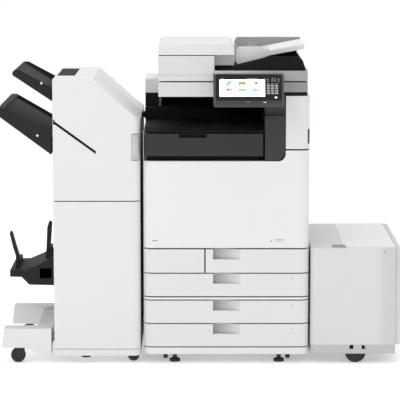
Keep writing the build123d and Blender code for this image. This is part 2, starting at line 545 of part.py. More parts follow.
# ---- Scanner
def scanner():
    back = SCAN_BACK
    tub = block(SCAN_LEFT, SCAN_RIGHT, SCAN_FRONT, back, SCAN, SCAN_TOP - 6)
    tub = fillet(tub.edges().filter_by(Axis.Z), 5)
    tub -= block(SCAN_LEFT + WALL, SCAN_RIGHT - WALL, SCAN_FRONT + WALL, back - WALL, SCAN + WALL + 4,
                 SCAN_TOP)
    tub -= block(PILLAR_LEFT + 8, SCAN_RIGHT + 1, SCAN_FRONT - 1, 70, SCAN - 1, SCAN + 3.4)
    tub -= block(PILLAR_LEFT - 3, SCAN_RIGHT + 9, 30, back + 1, SCAN - 1, SCAN + WALL + FIT)
    for x in ARM_X:
        arm = [(SCAN_FRONT, SCAN + 8), (SCAN_FRONT, SCAN + 42), (-44, SCAN + 23), (-50, SCAN + 18),
               (-44, SCAN + 13)]
        tub += prism_x(arm, x, x + 12)
    tub += rod("x", (ARM_X[0], PANEL_PIVOT[1], PANEL_PIVOT[2]), HINGE_PIN, ARM_X[1] + 12 - ARM_X[0])
    put("scanner_tub", tub)
    rod_y = GLASS_FRONT + 190
    put("scanner_tub", rod("x", (SCAN_LEFT + WALL, rod_y, SCAN + 26), 4, SCAN_RIGHT - SCAN_LEFT - 2 * WALL))
    top = block(SCAN_LEFT, SCAN_RIGHT, SCAN_FRONT, back, SCAN_TOP - 6, SCAN_TOP)
    top = fillet(top.edges().filter_by(Axis.Z), 5)
    for x0, x1 in ((GLASS_LEFT, GLASS_RIGHT), (STRIP_LEFT, STRIP_LEFT + STRIP_WIDTH)):
        y1 = GLASS_FRONT + GLASS_DEPTH
        top -= block(x0, x1, GLASS_FRONT, y1, SCAN_TOP - GLASS_THICK, SCAN_TOP + 1)
        top -= block(x0 + 4, x1 - 4, GLASS_FRONT + 4, y1 - 4, SCAN_TOP - 7, SCAN_TOP)
        put("scan_glass", block(x0, x1, GLASS_FRONT, y1, SCAN_TOP - GLASS_THICK, SCAN_TOP))
    put("scanner_top", top)
    for x in HINGE_X:
        ear = block(x, x + 12, ADF_PIVOT[1] - 8, ADF_PIVOT[1] + 8, SCAN_TOP, ADF_PIVOT[2] + 8)
        put("scanner_top", ear - rod("x", (x - 1, ADF_PIVOT[1], ADF_PIVOT[2]), HINGE_PIN + PIN_PLAY, 14))
    home = STRIP_LEFT + STRIP_WIDTH / 2
    glass_back = GLASS_FRONT + GLASS_DEPTH
    carriage = block(home - 17, home + 17, GLASS_FRONT - 30, glass_back + 30, SCAN + 16, SCAN + 38)
    carriage -= rod("x", (home - 18, rod_y, SCAN + 26), 4 + PIN_PLAY, 36)
    carriage -= block(home - 6, home + 6, GLASS_FRONT, glass_back, SCAN + 32, SCAN + 39)
    put("scan_carriage", carriage)


# ---- Document feeder
def adf_base():
    left, right, front, back = SCAN_LEFT, SCAN_RIGHT, SCAN_FRONT + 2, ADF_BACK
    low = ADF + 18
    outline = [(left, ADF), (right, ADF), (right, ADF_TOP), (FEEDER_RIGHT, ADF_TOP), (FEEDER_RIGHT, low),
               (left, low)]
    base = prism_y(outline, front, back)
    base = fillet(base.edges().filter_by(Axis.Z), 5)
    w = WALL
    inside = [(left + w, ADF - 1), (right - w, ADF - 1), (right - w, ADF_TOP - w),
              (FEEDER_RIGHT + w, ADF_TOP - w), (FEEDER_RIGHT + w, low - w), (left + w, low - w)]
    base -= prism_y(inside, front + w, back - w)
    for x in HINGE_X:
        arm = block(x + 13, x + 25, back - w, ADF_PIVOT[1] + 6, ADF_PIVOT[2] - 5, ADF_PIVOT[2] + 5)
        base += arm + rod("x", (x, ADF_PIVOT[1], ADF_PIVOT[2]), HINGE_PIN, 24)
    put("adf_base", base)
    put("adf_base", block(left + w, right - w, front + w, back - w, ADF, ADF + w))
    put("adf_base", block(GLASS_LEFT - 5, GLASS_RIGHT + 5, GLASS_FRONT - 5, GLASS_FRONT + GLASS_DEPTH + 5,
                          SCAN_TOP + 0.4, ADF))


def adf_feeder():
    left, front, back = SCAN_LEFT, SCAN_FRONT + 6, ADF_BACK - 50
    low = ADF + 18
    hump = block(left, FEEDER_RIGHT, front, back, low, FEEDER_TOP)
    hump = fillet(hump.edges().filter_by(Axis.Z), 6)
    side = block(FEEDER_RIGHT, FEED_BOX_RIGHT, 60, back, ADF_TOP + 16, FEEDER_TOP)
    side -= block(FEEDER_RIGHT + 10, FEED_BOX_RIGHT - WALL, 60 + WALL, back - WALL, ADF_TOP + 20,
                  FEEDER_TOP + 1)
    hump -= block(left + WALL, FEEDER_RIGHT - WALL, front + WALL, back - WALL, low + 22, FEEDER_TOP + 1)
    feeder = hump + side
    x, z = COVER_PIVOT[0], COVER_PIVOT[2]
    for y in COVER_EARS:
        feeder += block(x - 2.5, x + 2.5, y, y + 10, FEEDER_TOP - 30, z + 2.5)
        feeder += rod("y", (x, y - 8, z), 2.5, 26)
    dx, dz = DOC_PIVOT[0], DOC_PIVOT[2]
    for y, pin_y in ((DOC_FRONT + 8, DOC_FRONT), (DOC_BACK - 16, DOC_BACK - 16)):
        arm = [(FEED_BOX_RIGHT - 2, FEEDER_TOP - 30), (FEED_BOX_RIGHT - 2, FEEDER_TOP - 1),
               (dx - 6, dz + 5), (dx + 6, dz + 5), (dx + 6, dz - 8), (dx - 4, dz - 36)]
        feeder += prism_y(arm, y, y + 8)
        feeder += rod("y", (dx, pin_y, dz), 4, 16)
    put("adf_feeder", feeder)
    for x, z, radius in ((-60, FEEDER_TOP - 10, 13), (-10, FEEDER_TOP - 14, 10), (-110, FEEDER_TOP - 22, 12)):
        put("adf_feeder", rod("y", (x, front + WALL, z), 4, back - front - 2 * WALL))
        for y in (190, 250):
            put("adf_feeder", rod("y", (x, y, z), radius, 30) - rod("y", (x, y - 1, z), 4, 32))


def adf_output_tray():
    z = ADF_TOP + FIT
    top = [(57, z), (57, z + 4), (105, z + 6), (137, z + 18), (228, z + 39), (253, z + 51), (362, z + 51),
           (382, z + 34), (392, z)]
    tray = prism_y(top, 14, 466)
    channel = [(60, z + 3), (120, z + 3), (228, z + 27), (253, z + 39), (352, z + 39), (370, z + 28),
               (370, z + 80), (60, z + 80)]
    tray -= prism_y(channel, 28, 452)
    under = [(125, z - 1), (228, z + 22), (252, z + 35), (352, z + 35), (368, z + 25), (376, z - 1)]
    tray -= prism_y(under, 32, 448)
    put("adf_output_tray", tray)
    post = [(300, z + 39), (300, z + 50), (322, z + 61), (352, z + 66), (366, z + 66), (366, z + 51),
            (352, z + 39)]
    put("adf_output_tray", prism_y(post, 200, 280))


def adf_top_cover():
    left, right = SCAN_LEFT, FEED_BOX_RIGHT + 0.4
    low = FEEDER_TOP + FIT * 10
    front, back = SCAN_FRONT + 6, ADF_BACK - 63
    cover = block(left, right, front, back, low, COVER_TOP)
    cover = fillet(cover.edges().filter_by(Axis.Y).group_by(Axis.Z)[-1], 20)
    cover = fillet(cover.edges().group_by(Axis.Y)[0], 2)
    inner = block(left + WALL, right - WALL, front + WALL, back - WALL, low - 1, COVER_TOP - WALL)
    inner = fillet(inner.edges().filter_by(Axis.Y).group_by(Axis.Z)[-1], 17)
    cover -= inner
    x, z = COVER_PIVOT[0], COVER_PIVOT[2]
    for y in COVER_EARS:
        cover -= block(left - 1, left + WALL + 1, y - 10, y + 20, low - 1, z + 6)
        for start in (y - 7, y + 12):
            cover += block(x - 4, x + 8, start, start + 5, z - 4, COVER_TOP - 4) & \
                block(left + 1, right, front, back, low, COVER_TOP - 3)
            cover -= rod("y", (x, start - 1, z), 2.5 + PIN_PLAY, 7)
    put("adf_top_cover", cover)


def document_tray():
    """Sloped tray with a front and a rear wall; its pins are on the feeder's arms."""
    dx, dz = DOC_PIVOT[0], DOC_PIVOT[2]
    z = ADF_TOP + FIT
    bed = [(dx + 10, z + 32), (245, z + 63), (387, z + 90), (387, z + 84), (322, z + 71), (245, z + 57),
           (dx + 11, z + 26)]
    put("document_tray", prism_y(bed, DOC_FRONT + 6, DOC_BACK - 7))
    front = [(dx - 2, z + 20), (228, z + 42), (262, z + 54), (388, z + 77), (388, z + 89), (258, z + 70),
             (243, z + 78), (228, z + 86), (dx + 2, z + 86), (dx - 6, z + 72), (dx - 6, z + 40)]
    wall = prism_y(front, DOC_FRONT, DOC_FRONT + 6)
    put("document_tray", wall - rod("y", (dx, DOC_FRONT - 1, dz), 4 + PIN_PLAY, 9))
    rear = [(dx - 2, z + 20), (228, z + 42), (262, z + 54), (391, z + 78), (391, z + 96), (dx + 2, z + 96),
            (dx - 6, z + 80), (dx - 6, z + 40)]
    wall = prism_y(rear, DOC_BACK - 7, DOC_BACK + 10)
    put("document_tray", wall - rod("y", (dx, DOC_BACK - 8, dz), 4 + PIN_PLAY, 9))
    guide = [(170, z + 39.7), (216, z + 54.9), (216, z + 76), (208, z + 80), (178, z + 70), (170, z + 60)]
    for name, y in (("document_guide_front", 190), ("document_guide_rear", 340)):
        put(name, prism_y([(x, h - 0.8) for x, h in guide], y, y + 6))


# ---- Control panel
def control_panel():
    """Built flat, with the face at w = 0, then set on its slope."""
    body = block(0, PANEL_WIDTH, 0, PANEL_HEIGHT, -PANEL_THICK, 0)
    body = fillet(body.edges().filter_by(Axis.Z), 7)
    body = fillet(body.edges().group_by(Axis.Z)[-1], 1.5)
    left, low = SCREEN_LEFT, SCREEN_LOW
    right, high = left + SCREEN_WIDTH, low + SCREEN_HEIGHT
    body -= block(left, right, low, high, -SCREEN_SUNK, 1)
    key_x = right + KEY_FROM_SCREEN
    body -= rod("z", (key_x, low, -6), KEY_RADIUS, 8)
    screen = block(left + FIT, right - FIT, low + FIT, high - FIT, FIT - SCREEN_SUNK, -0.2)
    cap = rod("z", (key_x, low, -4.0), KEY_RADIUS - 0.4, 5.0)
    cap = fillet(cap.edges().group_by(Axis.Z)[-1], 1)
    put("control_panel", knuckles(PANEL_PLANE * body))
    put("touch_screen", PANEL_PLANE * screen)
    put("start_key", PANEL_PLANE * cap)


def knuckles(body):
    """Hinge knuckles on the panel's back, round the pin of the scanner's arms."""
    y, z = PANEL_PIVOT[1], PANEL_PIVOT[2]
    for x in (ARM_X[0] + 16, ARM_X[1] - 28):
        lug = [(y - 7, z - 6), (y + 7, z - 6), (y + 7, z + 4), (y + 3, z + 14), (y - 13, z + 0)]
        body += prism_x(lug, x, x + 24)
        body -= rod("x", (x - 1, y, z), HINGE_PIN + PIN_PLAY, 26)
    return body


# ---- Finisher
def finisher_front(z0, z1, chamfered):
    left, right = FIN_LEFT, FIN_RIGHT
    body = slab(left, right, 0, FRONT_DEPTH, z0, z1, 3, FIN_CORNER)
    hollow = slab(left + WALL, right - WALL, WALL, FRONT_DEPTH + 1, z0 + WALL, z1 - WALL, 0,
                  FIN_CORNER - WALL)
    if chamfered:
        body &= prism_y(fin_outline(0), -1, FRONT_DEPTH + 1)
        hollow &= prism_y(fin_outline(WALL), -1, FRONT_DEPTH + 2)
    return body - hollow


def fin_outline(inset):
    """Front outline of the finisher's body, with its sloping shoulder."""
    left, right, top = FIN_LEFT + inset, FIN_RIGHT - inset, FIN_HEIGHT - inset
    lean = inset * 1.4
    return [(left, 0), (right, 0), (right, FIN_HEIGHT - 150 - lean), (right - 28, FIN_HEIGHT - 130 - lean),
            (FIN_RIGHT - 174 - inset * 0.4, top), (left, top)]


def finisher():
    left, right, back = FIN_LEFT, FIN_RIGHT, FIN_DEPTH
    low = FIN_BOTTOM + 26
    front = COVER_FRONT
    shoulder = FIN_HEIGHT - 150
    put("finisher_shell", block(left, left + WALL, front, back, low, FIN_HEIGHT - WALL))
    side = block(right - WALL, right, front, back, low, shoulder)
    put("finisher_shell", side)
    put("finisher_shell", block(left + WALL, right - WALL, back - WALL, back, low, shoulder))
    gable = prism_y(fin_outline(WALL + FIT), back - WALL, back)
    put("finisher_shell", gable & block(left, right, 0, back, shoulder, FIN_HEIGHT))
    base = slab(left, right, 0, back, FIN_BOTTOM, low - 2, 3, FIN_CORNER)
    hollow = block(left + PLATE, right - PLATE, FIN_CORNER + PLATE, back - PLATE, FIN_BOTTOM - 1, low - 6)
    put("finisher_shell", base - hollow)
    outer = prism_y(fin_outline(0), front, back)
    outer -= prism_y(fin_outline(WALL), front - 1, back + 1)
    outer &= block(left, right, front, back, shoulder + FIT, FIN_HEIGHT)
    outer -= block(left - 1, left + 4, front - 1, back + 1, 0, FIN_HEIGHT - WALL)
    put("finisher_top_cover", outer)


def finisher_inside():
    """Frame, feed rollers, casters and the hinge posts of the two doors."""
    left, right, back = FIN_LEFT, FIN_RIGHT, FIN_DEPTH
    low = FIN_BOTTOM + 26
    front = COVER_FRONT
    shoulder = FIN_HEIGHT - 150
    x0, x1 = left + 20, right - 24
    put("finisher_frame", block(left + WALL, right - WALL, front + 4, back - 10, low - 2, low + 2))
    for y in (front + 8, back - 16):
        put("finisher_frame", block(x0, x1, y, y + PLATE, low + 2, shoulder - 20))
    put("finisher_frame", block(x0, x1, front + 12, back - 16, FIN_SPLIT - 3, FIN_SPLIT))
    for y in RAIL_Y:
        put("finisher_frame", block(TRAY_RIGHT + FIT, left, y, y + 20, 560, FIN_HEIGHT - 12))
    for z in (300, 420, 540, 700, 820):
        put("finisher_frame", rod("y", (x1 - 40, front + 12, z), 9, back - front - 28))
    for y in (42, back - 60):
        wheel = rod("y", (right - 28, y, 23), 23, 20)
        put("finisher_frame", fillet(wheel.edges(), 3))
        fork = block(right - 42, right - 14, y - 4, y + 24, 23, FIN_BOTTOM + 20)
        put("finisher_frame", fork - block(right - 60, right - 1, y - FIT, y + 20 + FIT, 0, 47))
        put("finisher_frame", rod("z", (left + 117, y + 4, 18), 12, low - 24))
    px, py = FIN_DOOR_PIVOT[0], FIN_DOOR_PIVOT[1]
    put("finisher_frame", block(left + 4, left + 14, front + 4, front + 12, low + 2, FIN_HEIGHT - WALL - 1))
    for z0, z1 in FIN_DOORS.values():
        for z, pin_z in ((z0 + WALL + 0.5, z0 + 0.5), (z1 - WALL - 4.5, z1 - WALL - 4.5)):
            ear = block(px - 3, px + 3, py, front + 4, z, z + 4)
            put("finisher_frame", ear + rod("z", (px, py, pin_z), FIN_PIN, WALL + 4))


def finisher_doors():
    """Both doors turn on pins near their left edge; the side wall is notched at each pin's ear."""
    px, py = FIN_DOOR_PIVOT[0], FIN_DOOR_PIVOT[1]
    for name, (z0, z1) in FIN_DOORS.items():
        door = finisher_front(z0, z1, name == "finisher_upper_door")
        for z in (z0 + WALL, z1 - WALL - 5):
            door -= block(FIN_LEFT - 1, FIN_LEFT + WALL + 0.1, WALL, FRONT_DEPTH + 1, z, z + 5)
        for z in (z0 - 1, z1 - WALL - 1):
            door -= rod("z", (px, py, z), FIN_PIN + PIN_PLAY, WALL + 2)
        put(name, door)


def stack_trays():
    right = TRAY_RIGHT
    upper = [(right, 985), (right, 1038), (right - 118, 1101), (right - 137, 1102), (right - 146, 1094),
             (right - 146, 1082)]
    well = [(right + 1, 1016), (right - 128, 1095), (right - 128, 1140), (right + 1, 1140)]
    under = [(right - 6, 980), (right - 6, 1009), (right - 112, 1074), (right - 112, 1050)]
    tray = prism_y(upper, 60, 500) - prism_y(well, 66, 494) - prism_y(under, 70, 490)
    put("upper_stack_tray", tray)
    lower = [(right, 790), (right, 865), (right - 175, 966), (right - 196, 966), (right - 201, 953),
             (right - 196, 935)]
    well = [(right + 1, 851), (right - 170, 950), (right - 170, 990), (right + 1, 990)]
    under = [(right - 6, 780), (right - 6, 846), (right - 150, 929), (right - 150, 880)]
    tray = prism_y(lower, 4, FIN_DEPTH - 20) - prism_y(well, 12, FIN_DEPTH - 28)
    put("lower_stack_tray", tray - prism_y(under, 14, FIN_DEPTH - 30))


def booklet_tray():
    right = TRAY_RIGHT
    body = [(right - 174, 325), (right - 174, 300), (right - 130, 299), (right - 101, 269), (right - 11, 267),
            (right, 265), (right, 374), (right - 11, 374), (right - 32, 364), (right - 72, 344),
            (right - 118, 325)]
    hollow = [(right - 120, 304), (right - 96, 274), (right - 11, 272), (right - 11, 366), (right - 32, 358),
              (right - 72, 338), (right - 116, 319)]
    tray = prism_y(body, 180, 468) - prism_y(hollow, 186, 462)
    tray -= block(right - 60, right - 15, 179, 190, 294, 333)
    put("booklet_tray", tray)
    put("booklet_tray", block(right, FIN_LEFT, 200, 450, 280, 360))
    ox, oz = PADDLE_OUTER_PIVOT[0], PADDLE_OUTER_PIVOT[2]
    ix, iz = PADDLE_INNER_PIVOT[0], PADDLE_INNER_PIVOT[2]
    for y in (230.0, 410.0):
        put("booklet_tray", block(ox - 6, ox + 6, y, y + 8, 325, oz + 6))
        post = [(ix - 8, 360), (ix, 364), (ix + 8, 367.8), (ix + 8, iz + 6), (ix - 8, iz + 6)]
        put("booklet_tray", prism_y(post, y, y + 8))
        put("booklet_tray", rod("y", (ox, y + 8, oz), 3.5, 12))
        put("booklet_tray", rod("y", (ix, y + 8, iz), 3.5, 12))
    outer = [(ox - 7, oz - 8), (ox + 6, oz - 8), (ox + 6, oz + 30), (ox - 6, oz + 70), (ox - 19, oz + 118),
             (ox - 27, oz + 126), (ox - 30, oz + 118), (ox - 18, oz + 66), (ox - 7, oz + 30)]
    inner = [(ix - 7, iz - 8), (ix + 7, iz - 8), (ix + 16, iz + 116), (ix + 5, iz + 121), (ix - 2, iz + 100)]
    paddles = (("booklet_paddle_outer", outer, ox, oz), ("booklet_paddle_inner", inner, ix, iz))
    for name, shape, x, z in paddles:
        paddle = prism_y(shape, 238.5, 409.5) - rod("y", (x, 237, z), 3.5 + PIN_PLAY, 14)
        paddle -= rod("y", (x, 398, z), 3.5 + PIN_PLAY, 24)
        paddle -= block(x - 12, x + 12, 238, 250, z - 10, z - 3.8)
        paddle -= block(x - 60, x + 60, 238.5 + BLADE_WIDTH, 410, z + 9, z + 140)
        put(name, paddle)


def finisher_foot():
    """Outrigger with two arms and a cross bar, on two casters."""
    right = FIN_LEFT - FOOT_GAP
    left = right - FOOT_LENGTH
    cross = CASTER_AXLES[1] - 25.0
    arm = [(left + 8, 133), (left, 61), (left + 87, 60), (left + 107, 55), (left + 125, 44), (left + 146, 32),
           (right, 32), (right, 133)]
    for y, swivel_y in ((0, CASTER_AXLES[0] - 8), (cross, CASTER_AXLES[1] - 8)):
        bore = rod("z", (SWIVEL_X, swivel_y, 50), 6 + PIN_PLAY, 31)
        put("finisher_foot", prism_y(arm, y, y + FOOT_WIDTH) - bore)
    put("finisher_foot", block(right - 60, right, FOOT_WIDTH, cross, 60, 120))
    put("finisher_foot", block(right, FIN_LEFT, 90, 440, 70, 110))
    for index, y in enumerate(CASTER_AXLES):
        name = ("front", "rear")[index]
        fork = rod("z", (SWIVEL_X, y - 8, 56), 15, 3.5) + rod("z", (SWIVEL_X, y - 8, 56), 6, 24)
        for side in (-15.0, 11.6):
            cheek = block(CASTER_X - 7, SWIVEL_X + 9, y - 8 + side, y - 4.6 + side, CASTER - 6, 57)
            fork += cheek
        fork += rod("y", (CASTER_X, y - 22, CASTER), 4, 28)
        put(f"caster_fork_{name}", fork)
        wheel = rod("y", (CASTER_X, y - 19, CASTER), CASTER, 22)
        wheel = fillet(wheel.edges(), 4) - rod("y", (CASTER_X, y - 20, CASTER), 4 + 0.08, 24)
        put(f"caster_wheel_{name}", wheel)


# ---- Paper deck
def deck_body():
    body = slab(DECK_LEFT, DECK_RIGHT, 0, DECK_DEPTH, DECK_BOTTOM + 34, DECK_HEIGHT, 25, 30)
    return fillet(body.edges().group_by(Axis.Z)[-1], 5)


def deck():
    left, right, back = DECK_LEFT, DECK_RIGHT, DECK_DEPTH
    low = DECK_BOTTOM + 34
    split = right - DECK_END
    seam = left + 123
    wheel_x = DECK_WHEEL_PIVOT[0]
    shell = deck_body() & block(left, split - 1, 0, back, low, DECK_HEIGHT)
    shell -= block(left + WALL, split + 1, 26, back - WALL, low + 3, DECK_HEIGHT - 8)
    shell -= block(left + 26, split + 1, WALL, 27, low + 3, DECK_HEIGHT - 8)
    shell -= block(seam, split + 1, 22, back - 14, DECK_HEIGHT - PLATE, DECK_HEIGHT + 1)
    shell -= block(seam - 43, seam + 12, 3, 20, DECK_HEIGHT - 20, DECK_HEIGHT + 1)
    for y in (20, back - 50):
        shell -= block(wheel_x - 43, wheel_x + 43, y, y + 30, low - 1, low + 4)
    put("deck_shell", shell)
    put("deck_shell", block(seam - 46, seam + 15, 3, 26, DECK_HEIGHT - 23, DECK_HEIGHT - 20))
    put("deck_top_cover", block(seam + 1, split - 1.5, 23, back - 15, DECK_HEIGHT - PLATE, DECK_HEIGHT))
    end = deck_body() & block(split, right, 0, back, 0, DECK_HEIGHT)
    inner = block(split - 1, right - WALL, 31, back - WALL - 1, low + 3, DECK_HEIGHT - 6)
    end -= inner
    bin_left, bin_right = left + 50, right - WALL
    put("deck_drawer", end, *open_bin(bin_left, bin_right, 40, back - 40, low + 14, DECK_HEIGHT - 30, WALL))
    put("deck_drawer", block(bin_left + 8, bin_right - 8, 50, back - 50, low + 60, low + 63))
    for x in (bin_left + 40, bin_right - 60):
        put("deck_drawer", rod("z", (x, 46, low + 17), 4, 43))
    for y in (60, back - 76):
        put("deck_base", block(left + 20, split - 8, y, y + 16, low + 3.3, low + 13.7))
    put("deck_base", block(ENGINE_RIGHT, left, 200, 420, 180, 230))
    base = slab(left, right - 20, 0, back, DECK_BOTTOM, low - FIT, 25, 12)
    base -= block(left + 6, right - 26, 26, back - 6, DECK_BOTTOM - 1, low - 6)
    for x in (wheel_x - 24, wheel_x + 22):
        base -= block(x, x + 15, -1, 30, DECK_BOTTOM + 17, DECK_BOTTOM + 33 - FIT)
    for y in (20, back - 50):
        base -= block(wheel_x - 43, wheel_x + 43, y, y + 30, DECK_BOTTOM - 1, low + 1)
    put("deck_base", base)
    wheels = rod("y", (wheel_x, 24, WHEEL), 5, back - 48)
    for y in (22, back - 48):
        wheels += fillet(rod("y", (wheel_x, y, WHEEL), WHEEL, 26).edges(), 3)
    put("deck_wheels", wheels)
    for y in (70, back - 80):
        ear = block(wheel_x - 10, wheel_x + 10, y, y + 6, 26, low - 6)
        put("deck_base", ear - rod("y", (wheel_x, y - 1, WHEEL), 5 + 0.08, 8))


def build():
    main_frame()
    rear_cover()
    side_covers()
    tower_cover()
    pillar_trim()
    cavity_liner()
    buffer_pass()
    inner_units()
    trim_bands()
    pedestal_feet()
    front_door()
    toner_door()
    waste_toner_cover()
    for number in DRAWERS:
        drawer_front(number)
        drawer_tray(number)
    right_door()
    bypass_tray()
    scanner()
    adf_base()
    adf_feeder()
    adf_output_tray()
    adf_top_cover()
    document_tray()
    control_panel()
    finisher()
    finisher_inside()
    finisher_doors()
    stack_trays()
    booklet_tray()
    finisher_foot()
    deck()


build()
BOUNDS = Compound([solid for solids in PARTS.values() for solid in solids]).bounding_box()
SHIFT = Vector(-(BOUNDS.min.X + BOUNDS.max.X) / 2, -(BOUNDS.min.Y + BOUNDS.max.Y) / 2, -BOUNDS.min.Z)
os.makedirs("parts", exist_ok=True)
for name, solids in PARTS.items():
    moved = [Pos(*SHIFT) * solid for solid in solids]
    export_step(moved[0] if len(moved) == 1 else Compound(moved), f"parts/{name}.step")
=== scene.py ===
"""Looks of the multifunction copier: finishes for every sub-part, and the small pieces on it."""
import math

import bmesh
import bpy
from mathutils import Matrix, Vector


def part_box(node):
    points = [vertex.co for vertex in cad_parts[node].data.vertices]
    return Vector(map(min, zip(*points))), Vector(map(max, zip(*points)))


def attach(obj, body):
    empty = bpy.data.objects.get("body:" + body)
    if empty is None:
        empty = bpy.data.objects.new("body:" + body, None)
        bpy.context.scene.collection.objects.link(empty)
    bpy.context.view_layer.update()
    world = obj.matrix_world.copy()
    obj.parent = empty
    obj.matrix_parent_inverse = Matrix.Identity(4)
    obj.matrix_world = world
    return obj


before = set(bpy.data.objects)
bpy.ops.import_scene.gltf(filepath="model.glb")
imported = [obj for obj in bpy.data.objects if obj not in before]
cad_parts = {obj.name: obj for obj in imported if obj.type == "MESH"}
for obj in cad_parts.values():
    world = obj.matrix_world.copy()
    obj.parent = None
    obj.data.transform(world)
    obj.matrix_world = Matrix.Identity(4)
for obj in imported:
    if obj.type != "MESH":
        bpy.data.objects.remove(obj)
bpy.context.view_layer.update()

# ---- Places, all taken from the frame. Model millimetres start at the engine's front left corner.
DOOR_LOW, DOOR_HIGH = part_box("front_door")
FRONT = DOOR_LOW.y
ENGINE_LEFT, ENGINE_RIGHT = DOOR_LOW.x, DOOR_HIGH.x
MM = 0.001


def at(x, y, z):
    """Point x mm right of the engine's left side, y mm behind its front face and z mm up."""
    return Vector((ENGINE_LEFT + x * MM, FRONT + y * MM, z * MM))


# ---- Node groups shared by several finishes
def new_group(name, inputs, outputs):
    tree = bpy.data.node_groups.new(name, "ShaderNodeTree")
    for label, kind, value in inputs:
        socket = tree.interface.new_socket(label, in_out="INPUT", socket_type=kind)
        socket.default_value = value
    for label, kind in outputs:
        tree.interface.new_socket(label, in_out="OUTPUT", socket_type=kind)
    return tree, tree.nodes.new("NodeGroupInput"), tree.nodes.new("NodeGroupOutput")


def node(tree, kind, values=(), wires=(), **settings):
    """Adds a node, with its settings, the values of its open inputs and what its inputs are wired to."""
    made = tree.nodes.new(kind)
    for label, value in settings.items():
        setattr(made, label, value)
    for label, value in dict(values).items():
        made.inputs[label].default_value = value
    wire(tree, made, wires)
    return made


def wire(tree, target, wires):
    for label, socket in dict(wires).items():
        tree.links.new(socket, target.inputs[label])


def moulded_grain():
    """Spark-eroded grain of moulded plastic: fine cells over a slow drift in gloss and tone."""
    tree, source, sink = new_group(
        "moulded_grain",
        [("Cell Scale", "NodeSocketFloat", 900.0), ("Tone Depth", "NodeSocketFloat", 0.03),
         ("Gloss Drift", "NodeSocketFloat", 0.08), ("Base Gloss", "NodeSocketFloat", 0.5),
         ("Colour", "NodeSocketColor", (0.8, 0.8, 0.8, 1))],
        [("Height", "NodeSocketFloat"), ("Roughness", "NodeSocketFloat"), ("Colour", "NodeSocketColor")])
    given = source.outputs
    space = node(tree, "ShaderNodeTexCoord").outputs["Object"]
    cells = node(tree, "ShaderNodeTexVoronoi", (), {"Vector": space, "Scale": given["Cell Scale"]},
                 feature="SMOOTH_F1")
    fine = node(tree, "ShaderNodeTexNoise", {"Scale": 2300.0, "Detail": 2.0}, {"Vector": space})
    height = node(tree, "ShaderNodeMath", {1: 0.6}, {0: fine.outputs["Fac"], 2: cells.outputs["Distance"]},
                  operation="MULTIPLY_ADD")
    slow = node(tree, "ShaderNodeTexNoise", {"Scale": 6.0, "Detail": 5.0, "Roughness": 0.62},
                {"Vector": space})
    drift = node(tree, "ShaderNodeMath", (),
                 {0: slow.outputs["Fac"], 1: given["Gloss Drift"], 2: given["Base Gloss"]},
                 operation="MULTIPLY_ADD")
    depth = node(tree, "ShaderNodeMath", (), {0: slow.outputs["Fac"], 1: given["Tone Depth"]},
                 operation="MULTIPLY")
    keep = node(tree, "ShaderNodeMath", {0: 1.0}, {1: depth.outputs[0]}, operation="SUBTRACT")
    shade = node(tree, "ShaderNodeVectorMath", (), {0: given["Colour"], "Scale": keep.outputs[0]},
                 operation="SCALE")
    wire(tree, sink, {"Height": height.outputs[0], "Roughness": drift.outputs[0], "Colour": shade.outputs[0]})
    return tree


def brushed_lines():
    """Fine rolling lines and zinc flowers of galvanised or brushed sheet."""
    tree, source, sink = new_group(
        "brushed_lines",
        [("Line Scale", "NodeSocketFloat", 160.0), ("Flower Scale", "NodeSocketFloat", 70.0),
         ("Colour", "NodeSocketColor", (0.6, 0.6, 0.6, 1))],
        [("Height", "NodeSocketFloat"), ("Roughness", "NodeSocketFloat"), ("Colour", "NodeSocketColor")])
    given = source.outputs
    space = node(tree, "ShaderNodeTexCoord").outputs["Object"]
    stretch = node(tree, "ShaderNodeMapping", {"Scale": (1.0, 1.0, 14.0)}, {"Vector": space})
    lines = node(tree, "ShaderNodeTexNoise", {"Detail": 3.0},
                 {"Vector": stretch.outputs["Vector"], "Scale": given["Line Scale"]})
    flowers = node(tree, "ShaderNodeTexVoronoi", (), {"Vector": space, "Scale": given["Flower Scale"]})
    rough = node(tree, "ShaderNodeMapRange", {"To Min": 0.28, "To Max": 0.5}, {"Value": lines.outputs["Fac"]})
    tone = node(tree, "ShaderNodeMapRange", {"To Min": 0.82, "To Max": 1.1},
                {"Value": flowers.outputs["Color"]})
    shade = node(tree, "ShaderNodeVectorMath", (), {0: given["Colour"], "Scale": tone.outputs["Result"]},
                 operation="SCALE")
    wire(tree, sink, {"Height": lines.outputs["Fac"], "Roughness": rough.outputs["Result"],
                      "Colour": shade.outputs[0]})
    return tree


def tone_step():
    """Colour that goes from a low one to a high one along an axis: painted shade on the scanner, feeder, deck
    and finger pockets, and a darker back on the document tray.
    """
    tree, source, sink = new_group(
        "tone_step",
        [("Axis", "NodeSocketVector", (1.0, 0.0, 0.0)), ("Start", "NodeSocketFloat", 0.0),
         ("End", "NodeSocketFloat", 0.01), ("Low Colour", "NodeSocketColor", (0.7, 0.7, 0.7, 1)),
         ("High Colour", "NodeSocketColor", (0.5, 0.5, 0.5, 1))],
        [("Colour", "NodeSocketColor")])
    given = source.outputs
    space = node(tree, "ShaderNodeTexCoord").outputs["Object"]
    reach = node(tree, "ShaderNodeVectorMath", (), {0: space, 1: given["Axis"]}, operation="DOT_PRODUCT")
    place = node(tree, "ShaderNodeMapRange", (),
                 {"Value": reach.outputs["Value"], "From Min": given["Start"], "From Max": given["End"]},
                 interpolation_type="SMOOTHSTEP")
    mix = node(tree, "ShaderNodeMix", (),
               {"Factor": place.outputs["Result"], 6: given["Low Colour"], 7: given["High Colour"]},
               data_type="RGBA")
    wire(tree, sink, {"Colour": mix.outputs[2]})
    return tree


